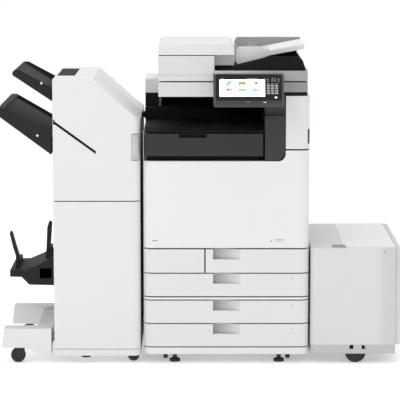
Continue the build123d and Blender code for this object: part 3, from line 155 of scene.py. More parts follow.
def floor_dust_and_shade():
    """Floor dust and painted shade: patchy darkening, stronger near the floor."""
    tree, source, sink = new_group(
        "floor_dust_and_shade",
        [("Reach", "NodeSocketFloat", 0.25), ("Patch Scale", "NodeSocketFloat", 9.0),
         ("Strength", "NodeSocketFloat", 0.1), ("Clean Colour", "NodeSocketColor", (0.8, 0.8, 0.8, 1)),
         ("Dust Shade Colour", "NodeSocketColor", (0.5, 0.5, 0.5, 1))],
        [("Colour", "NodeSocketColor"), ("Mask", "NodeSocketFloat")])
    given = source.outputs
    space = node(tree, "ShaderNodeTexCoord").outputs["Object"]
    split = node(tree, "ShaderNodeSeparateXYZ", (), {"Vector": space})
    low = node(tree, "ShaderNodeMapRange", {"To Min": 1.0, "To Max": 0.0},
               {"Value": split.outputs["Z"], "From Max": given["Reach"]})
    patches = node(tree, "ShaderNodeTexNoise", {"Detail": 6.0},
                   {"Vector": space, "Scale": given["Patch Scale"]})
    both = node(tree, "ShaderNodeMath", (), {0: low.outputs["Result"], 1: patches.outputs["Fac"]},
                operation="MULTIPLY")
    weight = node(tree, "ShaderNodeMath", (), {0: both.outputs[0], 1: given["Strength"]},
                  operation="MULTIPLY", use_clamp=True)
    mix = node(tree, "ShaderNodeMix", (),
               {"Factor": weight.outputs[0], 6: given["Clean Colour"], 7: given["Dust Shade Colour"]},
               data_type="RGBA")
    wire(tree, sink, {"Colour": mix.outputs[2], "Mask": weight.outputs[0]})
    return tree


GRAIN = moulded_grain()
SHEET = brushed_lines()
TONE_RAMP = tone_step()
DUST_AND_SHADE = floor_dust_and_shade()


# ---- Finishes
BUMP_DEPTH = 0.0002
DUST_SHADE_TONE = 0.72


def finish_with(name, group, settings, bump, shader=None):
    """Material whose colour, roughness and bump come from one of the groups above."""
    material = bpy.data.materials.new(name)
    material.use_nodes = True
    tree = material.node_tree
    bsdf = tree.nodes["Principled BSDF"]
    effect = node(tree, "ShaderNodeGroup", settings, (), node_tree=group)
    relief = node(tree, "ShaderNodeBump", {"Strength": bump, "Distance": BUMP_DEPTH},
                  {"Height": effect.outputs["Height"]})
    wire(tree, bsdf, {"Base Color": effect.outputs["Colour"], "Roughness": effect.outputs["Roughness"],
                      "Normal": relief.outputs["Normal"]})
    for label, value in (shader or {}).items():
        bsdf.inputs[label].default_value = value
    return material


def plastic(name, colour, gloss=0.42, cells=900.0, bump=0.25, tone=0.03, shader=None):
    settings = {"Cell Scale": cells, "Tone Depth": tone, "Gloss Drift": 0.08, "Base Gloss": gloss,
                "Colour": (*colour, 1.0)}
    return finish_with(name, GRAIN, settings, bump, shader)


def add_under(material, group, settings):
    """Feeds the grain of a finish from the colour of a second group."""
    tree = material.node_tree
    grain = next(made for made in tree.nodes if made.type == "GROUP" and made.node_tree == GRAIN)
    under = node(tree, "ShaderNodeGroup", settings, (), node_tree=group)
    wire(tree, grain, {"Colour": under.outputs["Colour"]})
    return material


def tone_ramp(material, axis, start, end, low, high):
    settings = {"Axis": axis, "Start": start, "End": end,
                "Low Colour": (*low, 1.0), "High Colour": (*high, 1.0)}
    return add_under(material, TONE_RAMP, settings)


def dust_and_shade_under(material, colour, strength=0.35, reach=0.3):
    dull = tuple(value * DUST_SHADE_TONE for value in colour)
    settings = {"Reach": reach, "Strength": strength,
                "Clean Colour": (*colour, 1.0), "Dust Shade Colour": (*dull, 1.0)}
    return add_under(material, DUST_AND_SHADE, settings)


def sheet_metal(name, colour, lines=160.0, flowers=70.0):
    settings = {"Line Scale": lines, "Flower Scale": flowers, "Colour": (*colour, 1.0)}
    return finish_with(name, SHEET, settings, 0.2, {"Metallic": 0.9})


def glowing(name, colour, strength, gloss=0.25):
    material = plastic(name, colour, gloss, cells=400.0, bump=0.02, tone=0.02)
    bsdf = material.node_tree.nodes["Principled BSDF"]
    bsdf.inputs["Emission Color"].default_value = (*colour, 1.0)
    bsdf.inputs["Emission Strength"].default_value = strength
    return material


def float_glass():
    material = plastic("float_glass", (0.72, 0.86, 0.84), 0.04, bump=0.0, tone=0.01)
    bsdf = material.node_tree.nodes["Principled BSDF"]
    bsdf.inputs["Transmission Weight"].default_value = 0.85
    bsdf.inputs["IOR"].default_value = 1.5
    return material


DULL = {"Specular IOR Level": 0.2}
FLAT = {"Specular IOR Level": 0.1}
COVER_WHITE = plastic("cover_white", (0.75, 0.75, 0.755), 0.4)
FEEDER_WHITE = plastic("feeder_white", (0.72, 0.72, 0.73), 0.4)
LID_WHITE = plastic("lid_white", (0.70, 0.70, 0.705), 0.4)
# Painted light: the deck's top cover is a lighter copy of the deck white, for the light from above.
DECK_TOP_LIT = plastic("deck_top_lit", (0.80, 0.79, 0.805), 0.42)
# Painted shade: the deck's end cover on the rounded right corner is a darker copy of the deck white.
DECK_END_SHADED = plastic("deck_end_shaded", (0.61, 0.60, 0.615), 0.42)
FINISHER_WHITE = plastic("finisher_white", (0.725, 0.725, 0.73), 0.42)
TOWER_WHITE = plastic("tower_white", (0.72, 0.70, 0.72), 0.4)
DECK_WHITE = plastic("deck_white", (0.65, 0.645, 0.66), 0.42)
DRAWER_WHITE = plastic("drawer_white", (0.70, 0.70, 0.71), 0.4)
BASE_GRAY = plastic("base_gray", (0.50, 0.51, 0.52), 0.46)
SCANNER_WHITE = plastic("scanner_white", (0.70, 0.70, 0.71), 0.38)
TRAY_GRAY = plastic("tray_gray", (0.62, 0.62, 0.63), 0.4)
GUIDE_GRAY = plastic("guide_gray", (0.33, 0.33, 0.34), 0.4)
CHARCOAL = plastic("charcoal", (0.036, 0.036, 0.038), 0.5, 700.0, 0.35, 0.15, DULL)
DOOR_CHARCOAL = plastic("door_charcoal", (0.034, 0.034, 0.036), 0.48, 800.0, 0.3, 0.1, DULL)
TRAY_CHARCOAL = plastic("tray_charcoal", (0.026, 0.026, 0.027), 0.52, 600.0, 0.4, 0.18, FLAT)
DEEP_BLACK = plastic("deep_black", (0.009, 0.009, 0.010), 0.55, 700.0, 0.3, 0.2, FLAT)
PILLAR_TAUPE = plastic("pillar_taupe", (0.050, 0.044, 0.048), 0.45, 800.0, 0.3, 0.12, DULL)
PANEL_FRAME = plastic("panel_frame", (0.058, 0.058, 0.060), 0.45, 900.0, 0.25, 0.1, DULL)
PIANO_BLACK = plastic("piano_black", (0.004, 0.004, 0.005), 0.3, 300.0, 0.03, 0.1, FLAT)
# Dust and painted shade: the base, finisher and covers darken in patches towards the floor.
dust_and_shade_under(BASE_GRAY, (0.50, 0.51, 0.52), 0.5, 0.12)
dust_and_shade_under(FINISHER_WHITE, (0.725, 0.725, 0.73), 0.22, 0.25)
dust_and_shade_under(COVER_WHITE, (0.75, 0.75, 0.755), 0.16, 0.2)
# Painted shade and painted reflection: the scanner and feeder fronts darken to the right of the control
# panel.
tone_ramp(SCANNER_WHITE, (1, 0, 0), 0.285, 0.33, (0.63, 0.63, 0.635), (0.27, 0.26, 0.265))
tone_ramp(FEEDER_WHITE, (1, 0, 0), 0.12, 0.34, (0.645, 0.645, 0.65), (0.34, 0.34, 0.345))
# Painted shade: the deck shell darkens towards its rounded right end.
tone_ramp(DECK_WHITE, (1, 0, 0), 0.66, 0.70, (0.65, 0.645, 0.66), (0.57, 0.56, 0.575))
POCKET_SHADE = plastic("pocket_shade", (0.5, 0.5, 0.5), 0.5, 900.0, 0.3)
# Painted shade: the finger pocket's sheet darkens towards its deep left end.
tone_ramp(POCKET_SHADE, (1, 0, 0), 0.045, 0.150, (0.42, 0.42, 0.425), (0.62, 0.62, 0.625))
tone_ramp(TRAY_GRAY, (0, 1, 0), 0.17, 0.19, (0.66, 0.66, 0.665), (0.36, 0.36, 0.37))
SHEET_STEEL = sheet_metal("sheet_steel", (0.56, 0.57, 0.58))
BIN_STEEL = sheet_metal("bin_steel", (0.5, 0.51, 0.52), lines=90.0, flowers=40.0)
SCREW_STEEL = sheet_metal("screw_steel", (0.62, 0.62, 0.63), lines=600.0, flowers=300.0)
SOFT_RUBBER = plastic("soft_rubber", (0.02, 0.02, 0.021), 0.62, cells=500.0, bump=0.6, tone=0.25)
TONER_SHELL = plastic("toner_shell", (0.06, 0.06, 0.065), 0.3, bump=0.2)
DRUM_FILM = plastic("drum_film", (0.03, 0.09, 0.08), 0.14, bump=0.04, shader={"Coat Weight": 0.6})
BOTTLE_RESIN = plastic("bottle_resin", (0.5, 0.52, 0.54), 0.35, bump=0.15)
KEY_GRAY = plastic("key_gray", (0.32, 0.32, 0.33), 0.3, bump=0.1)
MARK_WHITE = plastic("mark_white", (0.75, 0.75, 0.75), 0.35, bump=0.05)
MARK_GRAY = plastic("mark_gray", (0.22, 0.22, 0.23), 0.4, bump=0.05)
SEAM_GRAY = plastic("seam_gray", (0.12, 0.12, 0.125), 0.6, bump=0.2)
GRIP_LIGHT = plastic("grip_light", (0.55, 0.55, 0.56), 0.45, bump=0.25)
GRIP_GRAY = plastic("grip_gray", (0.40, 0.40, 0.41), 0.5, bump=0.25)
GREEN_LAMP = glowing("green_lamp", (0.10, 0.45, 0.33), 0.5)
SCREEN_WHITE = glowing("screen_white", (0.80, 0.83, 0.82), 0.75, gloss=0.1)
SCREEN_LINE = glowing("screen_line", (0.52, 0.58, 0.58), 0.3, gloss=0.1)
ICON_BLUE = glowing("icon_blue", (0.10, 0.12, 0.55), 0.35)
ICON_SKY = glowing("icon_sky", (0.15, 0.55, 0.85), 0.45)
ICON_OLIVE = glowing("icon_olive", (0.30, 0.34, 0.06), 0.3)
ICON_TEAL = glowing("icon_teal", (0.05, 0.27, 0.24), 0.3)
ICON_ORANGE = glowing("icon_orange", (0.62, 0.27, 0.12), 0.35)
ICON_GRAY = glowing("icon_gray", (0.25, 0.27, 0.27), 0.3)
ICON_DARK = glowing("icon_dark", (0.03, 0.035, 0.035), 0.1)
ICON_LIME = glowing("icon_lime", (0.55, 0.72, 0.25), 0.4)
ICON_PINK = glowing("icon_pink", (0.75, 0.45, 0.42), 0.4)
PLATE_GLASS = float_glass()

NODE_FINISH = {
    "main_frame": SHEET_STEEL, "finisher_frame": SHEET_STEEL, "rear_cover": COVER_WHITE,
    "side_covers": COVER_WHITE, "tower_cover": TOWER_WHITE, "pillar_trim": PILLAR_TAUPE,
    "cavity_liner": DEEP_BLACK, "buffer_pass": DEEP_BLACK, "toner_cartridges": TONER_SHELL,
    "imaging_unit": DRUM_FILM, "fuser_unit": CHARCOAL, "waste_toner_bottle": BOTTLE_RESIN,
    "trim_bands": COVER_WHITE, "pedestal_feet": SOFT_RUBBER, "scanner_tub": SCANNER_WHITE,
    "scanner_top": SCANNER_WHITE, "scan_glass": PLATE_GLASS, "scan_carriage": CHARCOAL,
    "front_door": COVER_WHITE, "toner_door": DOOR_CHARCOAL, "waste_toner_cover": DRAWER_WHITE,
    "right_door": COVER_WHITE, "bypass_tray": COVER_WHITE, "adf_base": FEEDER_WHITE,
    "adf_feeder": FEEDER_WHITE, "adf_output_tray": DEEP_BLACK, "adf_top_cover": LID_WHITE,
    "document_tray": TRAY_GRAY, "document_guide_front": GUIDE_GRAY, "document_guide_rear": GUIDE_GRAY,
    "control_panel": PANEL_FRAME, "touch_screen": PIANO_BLACK, "start_key": MARK_WHITE,
    "finisher_shell": FINISHER_WHITE, "finisher_top_cover": FINISHER_WHITE,
    "finisher_upper_door": FINISHER_WHITE, "finisher_lower_door": FINISHER_WHITE,
    "finisher_foot": FINISHER_WHITE, "upper_stack_tray": TRAY_CHARCOAL,
    "lower_stack_tray": TRAY_CHARCOAL, "booklet_tray": TRAY_CHARCOAL,
    "booklet_paddle_outer": TRAY_CHARCOAL, "booklet_paddle_inner": TRAY_CHARCOAL,
    "caster_fork_front": CHARCOAL, "caster_fork_rear": CHARCOAL, "caster_wheel_front": SOFT_RUBBER,
    "caster_wheel_rear": SOFT_RUBBER, "deck_shell": DECK_WHITE, "deck_top_cover": DECK_TOP_LIT,
    "deck_drawer": DECK_END_SHADED, "deck_base": BASE_GRAY, "deck_wheels": SOFT_RUBBER,
}
for number in (1, 2, 3, 4):
    NODE_FINISH[f"drawer_{number}_front"] = DRAWER_WHITE
    NODE_FINISH[f"drawer_{number}_tray"] = BIN_STEEL

ROUNDED = {"front_door", "toner_door", "waste_toner_cover", "tower_cover", "pillar_trim", "control_panel",
           "adf_base", "adf_feeder", "document_tray", "finisher_upper_door", "finisher_lower_door",
           "finisher_foot", "booklet_tray", "booklet_paddle_outer", "booklet_paddle_inner",
           "upper_stack_tray", "lower_stack_tray", "adf_output_tray", "scanner_tub", "scanner_top",
           "drawer_1_front", "drawer_2_front", "drawer_3_front", "drawer_4_front", "deck_base",
           "deck_top_cover", "trim_bands", "rear_cover", "buffer_pass", "bypass_tray", "right_door",
           "document_guide_front", "document_guide_rear", "touch_screen", "finisher_top_cover"}


EDGE_RADIUS = 0.0011
WELD_REACH = 0.00002


def dress_nodes():
    """Gives each sub-part its finish, and rounds the moulded ones' edges."""
    for name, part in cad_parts.items():
        part.data.materials.clear()
        part.data.materials.append(NODE_FINISH[name])
        if name in ROUNDED:
            weld = part.modifiers.new("weld", "WELD")
            weld.merge_threshold = WELD_REACH
            edge = part.modifiers.new("edge", "BEVEL")
            edge.width = EDGE_RADIUS
            edge.segments = 2
            edge.limit_method = "ANGLE"
            edge.angle_limit = math.radians(40)
            edge.use_clamp_overlap = True
            edge.harden_normals = False


# ---- Mesh helpers
def finished(mesh, name, material, body):
    piece = bpy.data.objects.new(name, mesh)
    bpy.context.scene.collection.objects.link(piece)
    mesh.materials.append(material)
    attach(piece, body)
    return piece


def rounded_outline(width, height, radius, steps=5):
    """Points of a rounded rectangle centred on the origin."""
    points = []
    for cx, cy, start in ((1, 1, 0), (-1, 1, 90), (-1, -1, 180), (1, -1, 270)):
        for step in range(steps + 1):
            angle = math.radians(start + 90 * step / steps)
            points.append((cx * (width / 2 - radius) + radius * math.cos(angle),
                           cy * (height / 2 - radius) + radius * math.sin(angle)))
    return points


def skin(shape, rings):
    """Joins each ring of vertices to the next one with four-sided faces."""
    count = len(rings[0])
    for lower, upper in zip(rings, rings[1:]):
        for i in range(count):
            shape.faces.new((lower[i], lower[(i + 1) % count], upper[(i + 1) % count], upper[i]))


def raised(shape, outline, place, depth, top_inset=0.0):
    """Adds a plate with the outline to a bmesh; its rim is drawn in at the top."""
    low = [shape.verts.new(place @ Vector((x, y, 0))) for x, y in outline]
    cx = sum(x for x, _ in outline) / len(outline)
    cy = sum(y for _, y in outline) / len(outline)
    rings = [low]
    for inset, height in ((0.0, depth - top_inset), (top_inset, depth)):
        ring = []
        for x, y in outline:
            reach = math.hypot(x - cx, y - cy) or 1.0
            keep = (reach - inset) / reach
            spot = Vector((cx + (x - cx) * keep, cy + (y - cy) * keep, height))
            ring.append(shape.verts.new(place @ spot))
        rings.append(ring)
    skin(shape, rings)
    shape.faces.new(list(reversed(low)))
    shape.faces.new(rings[-1])


def to_mesh(shape, name, smooth=False):
    bmesh.ops.recalc_face_normals(shape, faces=shape.faces)
    mesh = bpy.data.meshes.new(name)
    shape.to_mesh(mesh)
    shape.free()
    for face in mesh.polygons:
        face.use_smooth = smooth
    return mesh


def facing(origin, right, up):
    """Matrix whose X runs right, Y up and Z out of the face."""
    right, up = Vector(right).normalized(), Vector(up).normalized()
    out = right.cross(up)
    turn = Matrix((right, up, out)).transposed().to_4x4()
    return Matrix.Translation(origin) @ turn


FRONTWARD = ((1, 0, 0), (0, 0, 1))
UPWARD = ((1, 0, 0), (0, 1, 0))
BACKWARD = ((-1, 0, 0), (0, 0, 1))


def plate(name, origin, directions, size, depth, radius, material, body, inset=0.0006):
    """One rounded plate standing on a face; sizes in millimetres."""
    shape = bmesh.new()
    outline = rounded_outline(size[0] * MM, size[1] * MM, radius * MM)
    raised(shape, outline, facing(origin, *directions), depth * MM, inset)
    return finished(to_mesh(shape, name), name, material, body)


def strip(name, points, directions, origin, depth, material, body):
    """Plate with a free outline in millimetres."""
    shape = bmesh.new()
    raised(shape, [(x * MM, y * MM) for x, y in points], facing(origin, *directions), depth * MM)
    return finished(to_mesh(shape, name), name, material, body)


def corner_band(name, centre, radius, angles, levels, depth, material, body, steps=12):
    """Curved plate on an upright rounded corner; angles run from straight ahead to the right."""
    shape = bmesh.new()
    inner, outer = radius - depth, radius
    low, high = levels
    loops = []
    for i in range(steps + 1):
        angle = math.radians(angles[0] + (angles[1] - angles[0]) * i / steps)
        section = []
        for reach, z in ((inner, low), (outer, low), (outer, high), (inner, high)):
            spot = at(centre[0] + reach * math.sin(angle), centre[1] - reach * math.cos(angle), z)
            section.append(shape.verts.new(spot))
        loops.append(section)
    skin(shape, loops)
    shape.faces.new(loops[0])
    shape.faces.new(list(reversed(loops[-1])))
    return finished(to_mesh(shape, name, True), name, material, body)


# ---- Geometry Nodes: one tree that repeats a template over a grid
def grid_tree():
    tree = bpy.data.node_groups.new("repeat_on_grid", "GeometryNodeTree")
    face = tree.interface
    face.new_socket("Geometry", in_out="OUTPUT", socket_type="NodeSocketGeometry")
    inputs = (("Template", "NodeSocketObject", None), ("Columns", "NodeSocketInt", 2),
              ("Rows", "NodeSocketInt", 2), ("Width", "NodeSocketFloat", 0.1),
              ("Height", "NodeSocketFloat", 0.1), ("Place", "NodeSocketVector", (0, 0, 0)),
              ("Turn", "NodeSocketVector", (0, 0, 0)), ("Finish", "NodeSocketMaterial", None))
    for label, kind, value in inputs:
        socket = face.new_socket(label, in_out="INPUT", socket_type=kind)
        if value is not None:
            socket.default_value = value
    given, sink = tree.nodes.new("NodeGroupInput").outputs, tree.nodes.new("NodeGroupOutput")
    grid = node(tree, "GeometryNodeMeshGrid", (),
                {"Size X": given["Width"], "Size Y": given["Height"],
                 "Vertices X": given["Columns"], "Vertices Y": given["Rows"]})
    item = node(tree, "GeometryNodeObjectInfo", (), {"Object": given["Template"]})
    copies = node(tree, "GeometryNodeInstanceOnPoints", (),
                  {"Points": grid.outputs["Mesh"], "Instance": item.outputs["Geometry"]})
    turn = node(tree, "FunctionNodeEulerToRotation", (), {"Euler": given["Turn"]})
    move = node(tree, "GeometryNodeTransform", (),
                {"Geometry": copies.outputs["Instances"], "Translation": given["Place"],
                 "Rotation": turn.outputs["Rotation"]})
    real = node(tree, "GeometryNodeRealizeInstances", (), {"Geometry": move.outputs["Geometry"]})
    paint = node(tree, "GeometryNodeSetMaterial", (),
                 {"Geometry": real.outputs["Geometry"], "Material": given["Finish"]})
    wire(tree, sink, {"Geometry": paint.outputs["Geometry"]})
    return tree


GRID = grid_tree()


def repeat(name, template, columns, rows, span, matrix, material, body):
    """Copies of a template mesh on a grid of columns by rows over span (metres), placed by matrix."""
    pattern = bpy.data.objects.new(name + "_pattern", template)
    carrier = bpy.data.objects.new(name + "_grid", bpy.data.meshes.new(name + "_grid"))
    bpy.context.scene.collection.objects.link(pattern)
    bpy.context.scene.collection.objects.link(carrier)
    modifier = carrier.modifiers.new("grid", "NODES")
    modifier.node_group = GRID
    values = {"Template": pattern, "Columns": columns, "Rows": rows, "Width": span[0], "Height": span[1],
              "Place": tuple(matrix.translation), "Turn": tuple(matrix.to_euler()), "Finish": material}
    for socket in GRID.interface.items_tree:
        if socket.in_out == "INPUT":
            modifier[socket.identifier] = values[socket.name]
    bpy.context.view_layer.update()
    evaluated = carrier.evaluated_get(bpy.context.evaluated_depsgraph_get())
    mesh = bpy.data.meshes.new_from_object(evaluated)
    carrier.modifiers.remove(modifier)
    bpy.data.objects.remove(carrier)
    bpy.data.objects.remove(pattern)
    piece = bpy.data.objects.new(name, mesh)
    bpy.context.scene.collection.objects.link(piece)
    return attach(piece, body)


def key_template(width, height, depth, radius=1.2, inset=0.5):
    shape = bmesh.new()
    outline = rounded_outline(width * MM, height * MM, radius * MM, 4)
    raised(shape, outline, Matrix.Identity(4), depth * MM, inset * MM)
    return to_mesh(shape, "key_template")


def screw_template(radius=3.2, depth=1.4):
    """Pan-head screw with a cross recess, standing along Z."""
    shape = bmesh.new()
    steps = 20
    profile = ((radius, 0.0), (radius, depth * 0.35), (radius * 0.8, depth * 0.8), (radius * 0.45, depth))
    angles = [2 * math.pi * i / steps for i in range(steps)]
    rings = []
    for reach, height in profile:
        far = reach * MM
        rings.append([shape.verts.new((far * math.cos(angle), far * math.sin(angle), height * MM))
                      for angle in angles])
    cross = []
    for i, angle in enumerate(angles):
        reach = radius * (0.42 if i % 5 == 0 else 0.16) * MM
        spot = (reach * math.cos(angle), reach * math.sin(angle), depth * 0.55 * MM)
        cross.append(shape.verts.new(spot))
    skin(shape, rings + [cross])
    shape.faces.new(cross)
    return to_mesh(shape, "screw_template")


# ---- Control panel: everything lies on the panel's sloping face, in millimetres from its lower left
PANEL_BODY = "control_panel"
PANEL_ANGLE = (0, 0.719, 0.695)
PANEL_OUT = Vector((0, -0.695, 0.719))
PANEL_FACE = ((1, 0, 0), PANEL_ANGLE)
PANEL_CORNER = at(261, -118, (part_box("scanner_tub")[0].z / MM) - 15.0)
PANEL_MIDDLE = 130.0
SCREEN_MIDDLE = 106.0
MENU_BAR_HEIGHT = 122.5
ON_FACE, ON_SCREEN = 0.5, 0.85
TILE_COLUMNS = (57.0, 106.0, 155.0)
TILE_ROWS = (97.0, 66.0)
CAPTION_DROP = 13.0
KEYPAD_MIDDLE = 217.0
KEY_PITCH, KEY_RISE = 0.015, 0.012
RING_CENTRE, RING_RADIUS, ARROW_REACH = (222.0, 115.0), 11.0, 7.4


def on_panel(u, v, w=0.0):
    """Point u mm right and v mm up the panel's face, w mm in front of it."""
    return PANEL_CORNER + Vector((u * MM, 0, 0)) + Vector(PANEL_ANGLE) * v * MM + PANEL_OUT * w * MM


def panel_plate(name, u, v, w, size, depth, radius, material):
    plate(name, on_panel(u, v, w), PANEL_FACE, size, depth, radius, material, PANEL_BODY)


def panel_pieces():
    middle = SCREEN_MIDDLE
    panel_plate("panel_black_face", PANEL_MIDDLE, 78.5, 0.0, (243, 126), 0.5, 5, PIANO_BLACK)
    panel_plate("screen_picture", middle, 76, ON_FACE, (168, 84), 0.35, 1, SCREEN_WHITE)
    panel_plate("screen_menu_bar", middle, MENU_BAR_HEIGHT, ON_FACE, (168, 8), 0.3, 1, PIANO_BLACK)
    for name, u, width in (("left", 33, 12), ("mid", 143, 40), ("right", 187, 6)):
        panel_plate(f"screen_menu_{name}", u, MENU_BAR_HEIGHT, 0.8, (width, 2.2), 0.2, 0.6, ICON_GRAY)
    panel_plate("screen_tray_line", middle, 44.5, ON_SCREEN, (158, 1.2), 0.1, 0.4, SCREEN_LINE)
    icons()
    keypad()
    panel_plate("panel_lower_edge", PANEL_MIDDLE, 8, 0.0, (246, 9), 0.6, 3, CHARCOAL)
    panel_plate("panel_mark", 128, 8, 0.6, (11, 3.2), 0.3, 1.5, MARK_GRAY)
    panel_plate("status_lamp", 188, 6.5, 0.6, (12, 5), 0.8, 2.4, GREEN_LAMP)


def tile(name, column, row, pieces):
    """One menu tile: coloured shapes round its middle and a caption bar under it."""
    u, v = TILE_COLUMNS[column], TILE_ROWS[row]
    for index, (du, dv, width, height, material) in enumerate(pieces):
        lift = ON_SCREEN + 0.12 * index
        radius = min(width, height) * 0.25
        panel_plate(f"{name}_{index}", u + du, v + dv, lift, (width, height), 0.12, radius, material)
    panel_plate(f"{name}_caption", u, v - CAPTION_DROP, ON_SCREEN, (26, 1.8), 0.1, 0.7, SCREEN_LINE)


def icons():
    """Six generic menu tiles; each shape is (right, up, width, height, finish)."""
    tile("copy_tile", 0, 0, ((0, 0, 19, 19, ICON_BLUE), (-4, 1, 7, 14, ICON_SKY),
                             (5, -3, 6, 9, SCREEN_WHITE)))
    tile("store_tile", 1, 0, ((0, 0, 28, 16, ICON_OLIVE), (0, 4, 22, 4, ICON_DARK),
                              (0, -3, 14, 4, ICON_LIME)))
    tile("sign_tile", 2, 0, ((2, 3, 12, 14, ICON_GRAY), (-4, -5, 10, 5, ICON_LIME),
                             (5, 5, 4, 8, ICON_DARK)))
    tile("send_tile", 0, 1, ((1, 1, 21, 15, ICON_ORANGE), (-5, 4, 7, 6, ICON_DARK),
                             (5, -3, 8, 6, ICON_PINK)))
    tile("tray_tile", 1, 1, ((0, 0, 29, 8, ICON_TEAL), (0, -3.5, 20, 3, ICON_LIME),
                             (0, 1, 22, 2.4, ICON_DARK)))
    tile("net_tile", 2, 1, ((0, -2, 28, 6, ICON_TEAL), (0, -1, 16, 12, ICON_SKY),
                            (0, 7, 3, 8, ICON_BLUE)))


def keypad():
    """Number keys, function keys over them, and a ring of arrow keys between round ones."""
    face = facing(on_panel(KEYPAD_MIDDLE, 68, ON_FACE), *PANEL_FACE)
    span = (2 * KEY_PITCH, 3 * KEY_RISE)
    repeat("number_keys", key_template(11.5, 8.0, 1.6), 3, 4, span, face, KEY_GRAY, PANEL_BODY)
    face = facing(on_panel(KEYPAD_MIDDLE, 95.5, ON_FACE), *PANEL_FACE)
    span = (2 * KEY_PITCH, 0.0)
    repeat("function_keys", key_template(10, 4.2, 1.0), 3, 1, span, face, MARK_GRAY, PANEL_BODY)
    u0, v0 = RING_CENTRE
    shape = bmesh.new()
    sides = 28
    turns = [2 * math.pi * i / sides for i in range(sides)]
    ring = [(RING_RADIUS * MM * math.cos(turn), RING_RADIUS * MM * math.sin(turn)) for turn in turns]
    raised(shape, ring, facing(on_panel(u0, v0, ON_FACE), *PANEL_FACE), 1.2 * MM, 0.8 * MM)
    finished(to_mesh(shape, "arrow_ring", True), "arrow_ring", PANEL_FRAME, PANEL_BODY)
    for i in range(4):
        angle = math.radians(45 + 90 * i)
        u, v = u0 + ARROW_REACH * math.cos(angle), v0 + ARROW_REACH * math.sin(angle)
        panel_plate(f"arrow_key_{i}", u, v, 1.7, (2.6, 2.6), 0.4, 1.2, MARK_WHITE)
    for i, u in enumerate((200, 240)):
        panel_plate(f"round_key_{i}", u, 118, ON_FACE, (6.5, 6.5), 1.0, 3.2, MARK_GRAY)
        panel_plate(f"round_key_low_{i}", u, 108, ON_FACE, (6.5, 6.5), 1.0, 3.2, MARK_GRAY)


# ---- Small pieces on the engine
# Drawer numbers as seven-stroke figures: the strokes of each, and (right, up, width, height) of a stroke
DIGITS = {1: "bc", 2: "abged", 3: "abgcd", 4: "fgbc"}
STROKES = {"a": (0, 4, 5, 0.9), "b": (2.1, 2, 0.9, 4.6), "c": (2.1, -2, 0.9, 4.6), "d": (0, -4, 5, 0.9),
           "e": (-2.1, -2, 0.9, 4.6), "f": (-2.1, 2, 0.9, 4.6), "g": (0, 0, 5, 0.9)}
DIGIT_FROM_LEFT, DIGIT_DROP = 558.0, 17.0
RAIL_SCREW_DEPTH, RAIL_SCREW_RISE, RAIL_SCREW_SPAN = 36.0, 14.0, 0.42
RAIL_MIDDLE = {1: 400.0, 2: 330.0, 3: 330.0, 4: 330.0}
# The finger pocket's curved back passes through these plan points, (right, behind the front)
POCKET_PLAN = ((260.7, 24.0), (323.85, 14.88), (363.0, 0.0))
POCKET_FLOOR, POCKET_ROOF = 37.7, 0.4
SHADE_SHEET_BACK, SHADE_SHEET_FRONT = 0.1, 0.5


def circle_through(first, second, third):
    """Centre and radius of the circle through three plan points."""
    ax, ay = first
    bx, by = second
    cx, cy = third
    turn = 2 * (ax * (by - cy) + bx * (cy - ay) + cx * (ay - by))
    a2, b2, c2 = ax * ax + ay * ay, bx * bx + by * by, cx * cx + cy * cy
    x = (a2 * (by - cy) + b2 * (cy - ay) + c2 * (ay - by)) / turn
    y = (a2 * (cx - bx) + b2 * (ax - cx) + c2 * (bx - ax)) / turn
    return x, y, math.hypot(ax - x, ay - y)


def pocket_shade_sheet(number, top):
    """Matt sheet of painted shade on the curved back of a drawer's finger pocket, from its floor to its roof;
    darker towards the deep end.
    """
    x0, y0, radius = circle_through(*POCKET_PLAN)
    (left, deepest), _, (right, _) = POCKET_PLAN
    floor, roof = top - POCKET_FLOOR, top - POCKET_ROOF
    steps = 18
    shape = bmesh.new()
    loops = []
    for i in range(steps + 1):
        x = left + 0.4 + (right - left - 2.0) * i / steps
        y = y0 + math.copysign(math.sqrt(max(radius ** 2 - (x - x0) ** 2, 0.0)), deepest - y0)
        loops.append([shape.verts.new(at(x, y - depth, z)) for depth, z in
                      ((SHADE_SHEET_BACK, floor), (SHADE_SHEET_FRONT, floor), (SHADE_SHEET_FRONT, roof), (SHADE_SHEET_BACK, roof))])
    skin(shape, loops)
    shape.faces.new(loops[0])
    shape.faces.new(list(reversed(loops[-1])))
    name = f"pocket_liner_{number}"
    finished(to_mesh(shape, name), name, POCKET_SHADE, f"drawer_{number}")


def drawer_pieces():
    for number, strokes in DIGITS.items():
        low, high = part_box(f"drawer_{number}_front")
        body = f"drawer_{number}"
        top = high.z / MM
        for stroke in strokes:
            x, z, width, height = STROKES[stroke]
            spot = at(DIGIT_FROM_LEFT + x, 0.0, top - DIGIT_DROP + z)
            plate(f"drawer_{number}_digit_{stroke}", spot, FRONTWARD, (width, height), 0.25, 0.4,
                  MARK_GRAY, body, 0.0001)
        pocket_shade_sheet(number, top)
        spot = at(RAIL_MIDDLE[number], RAIL_SCREW_DEPTH, low.z / MM + RAIL_SCREW_RISE)
        repeat(f"drawer_{number}_rail_screws", screw_template(2.6, 1.2), 6, 1, (RAIL_SCREW_SPAN, 0.0),
               facing(spot, *FRONTWARD), SCREW_STEEL, body)


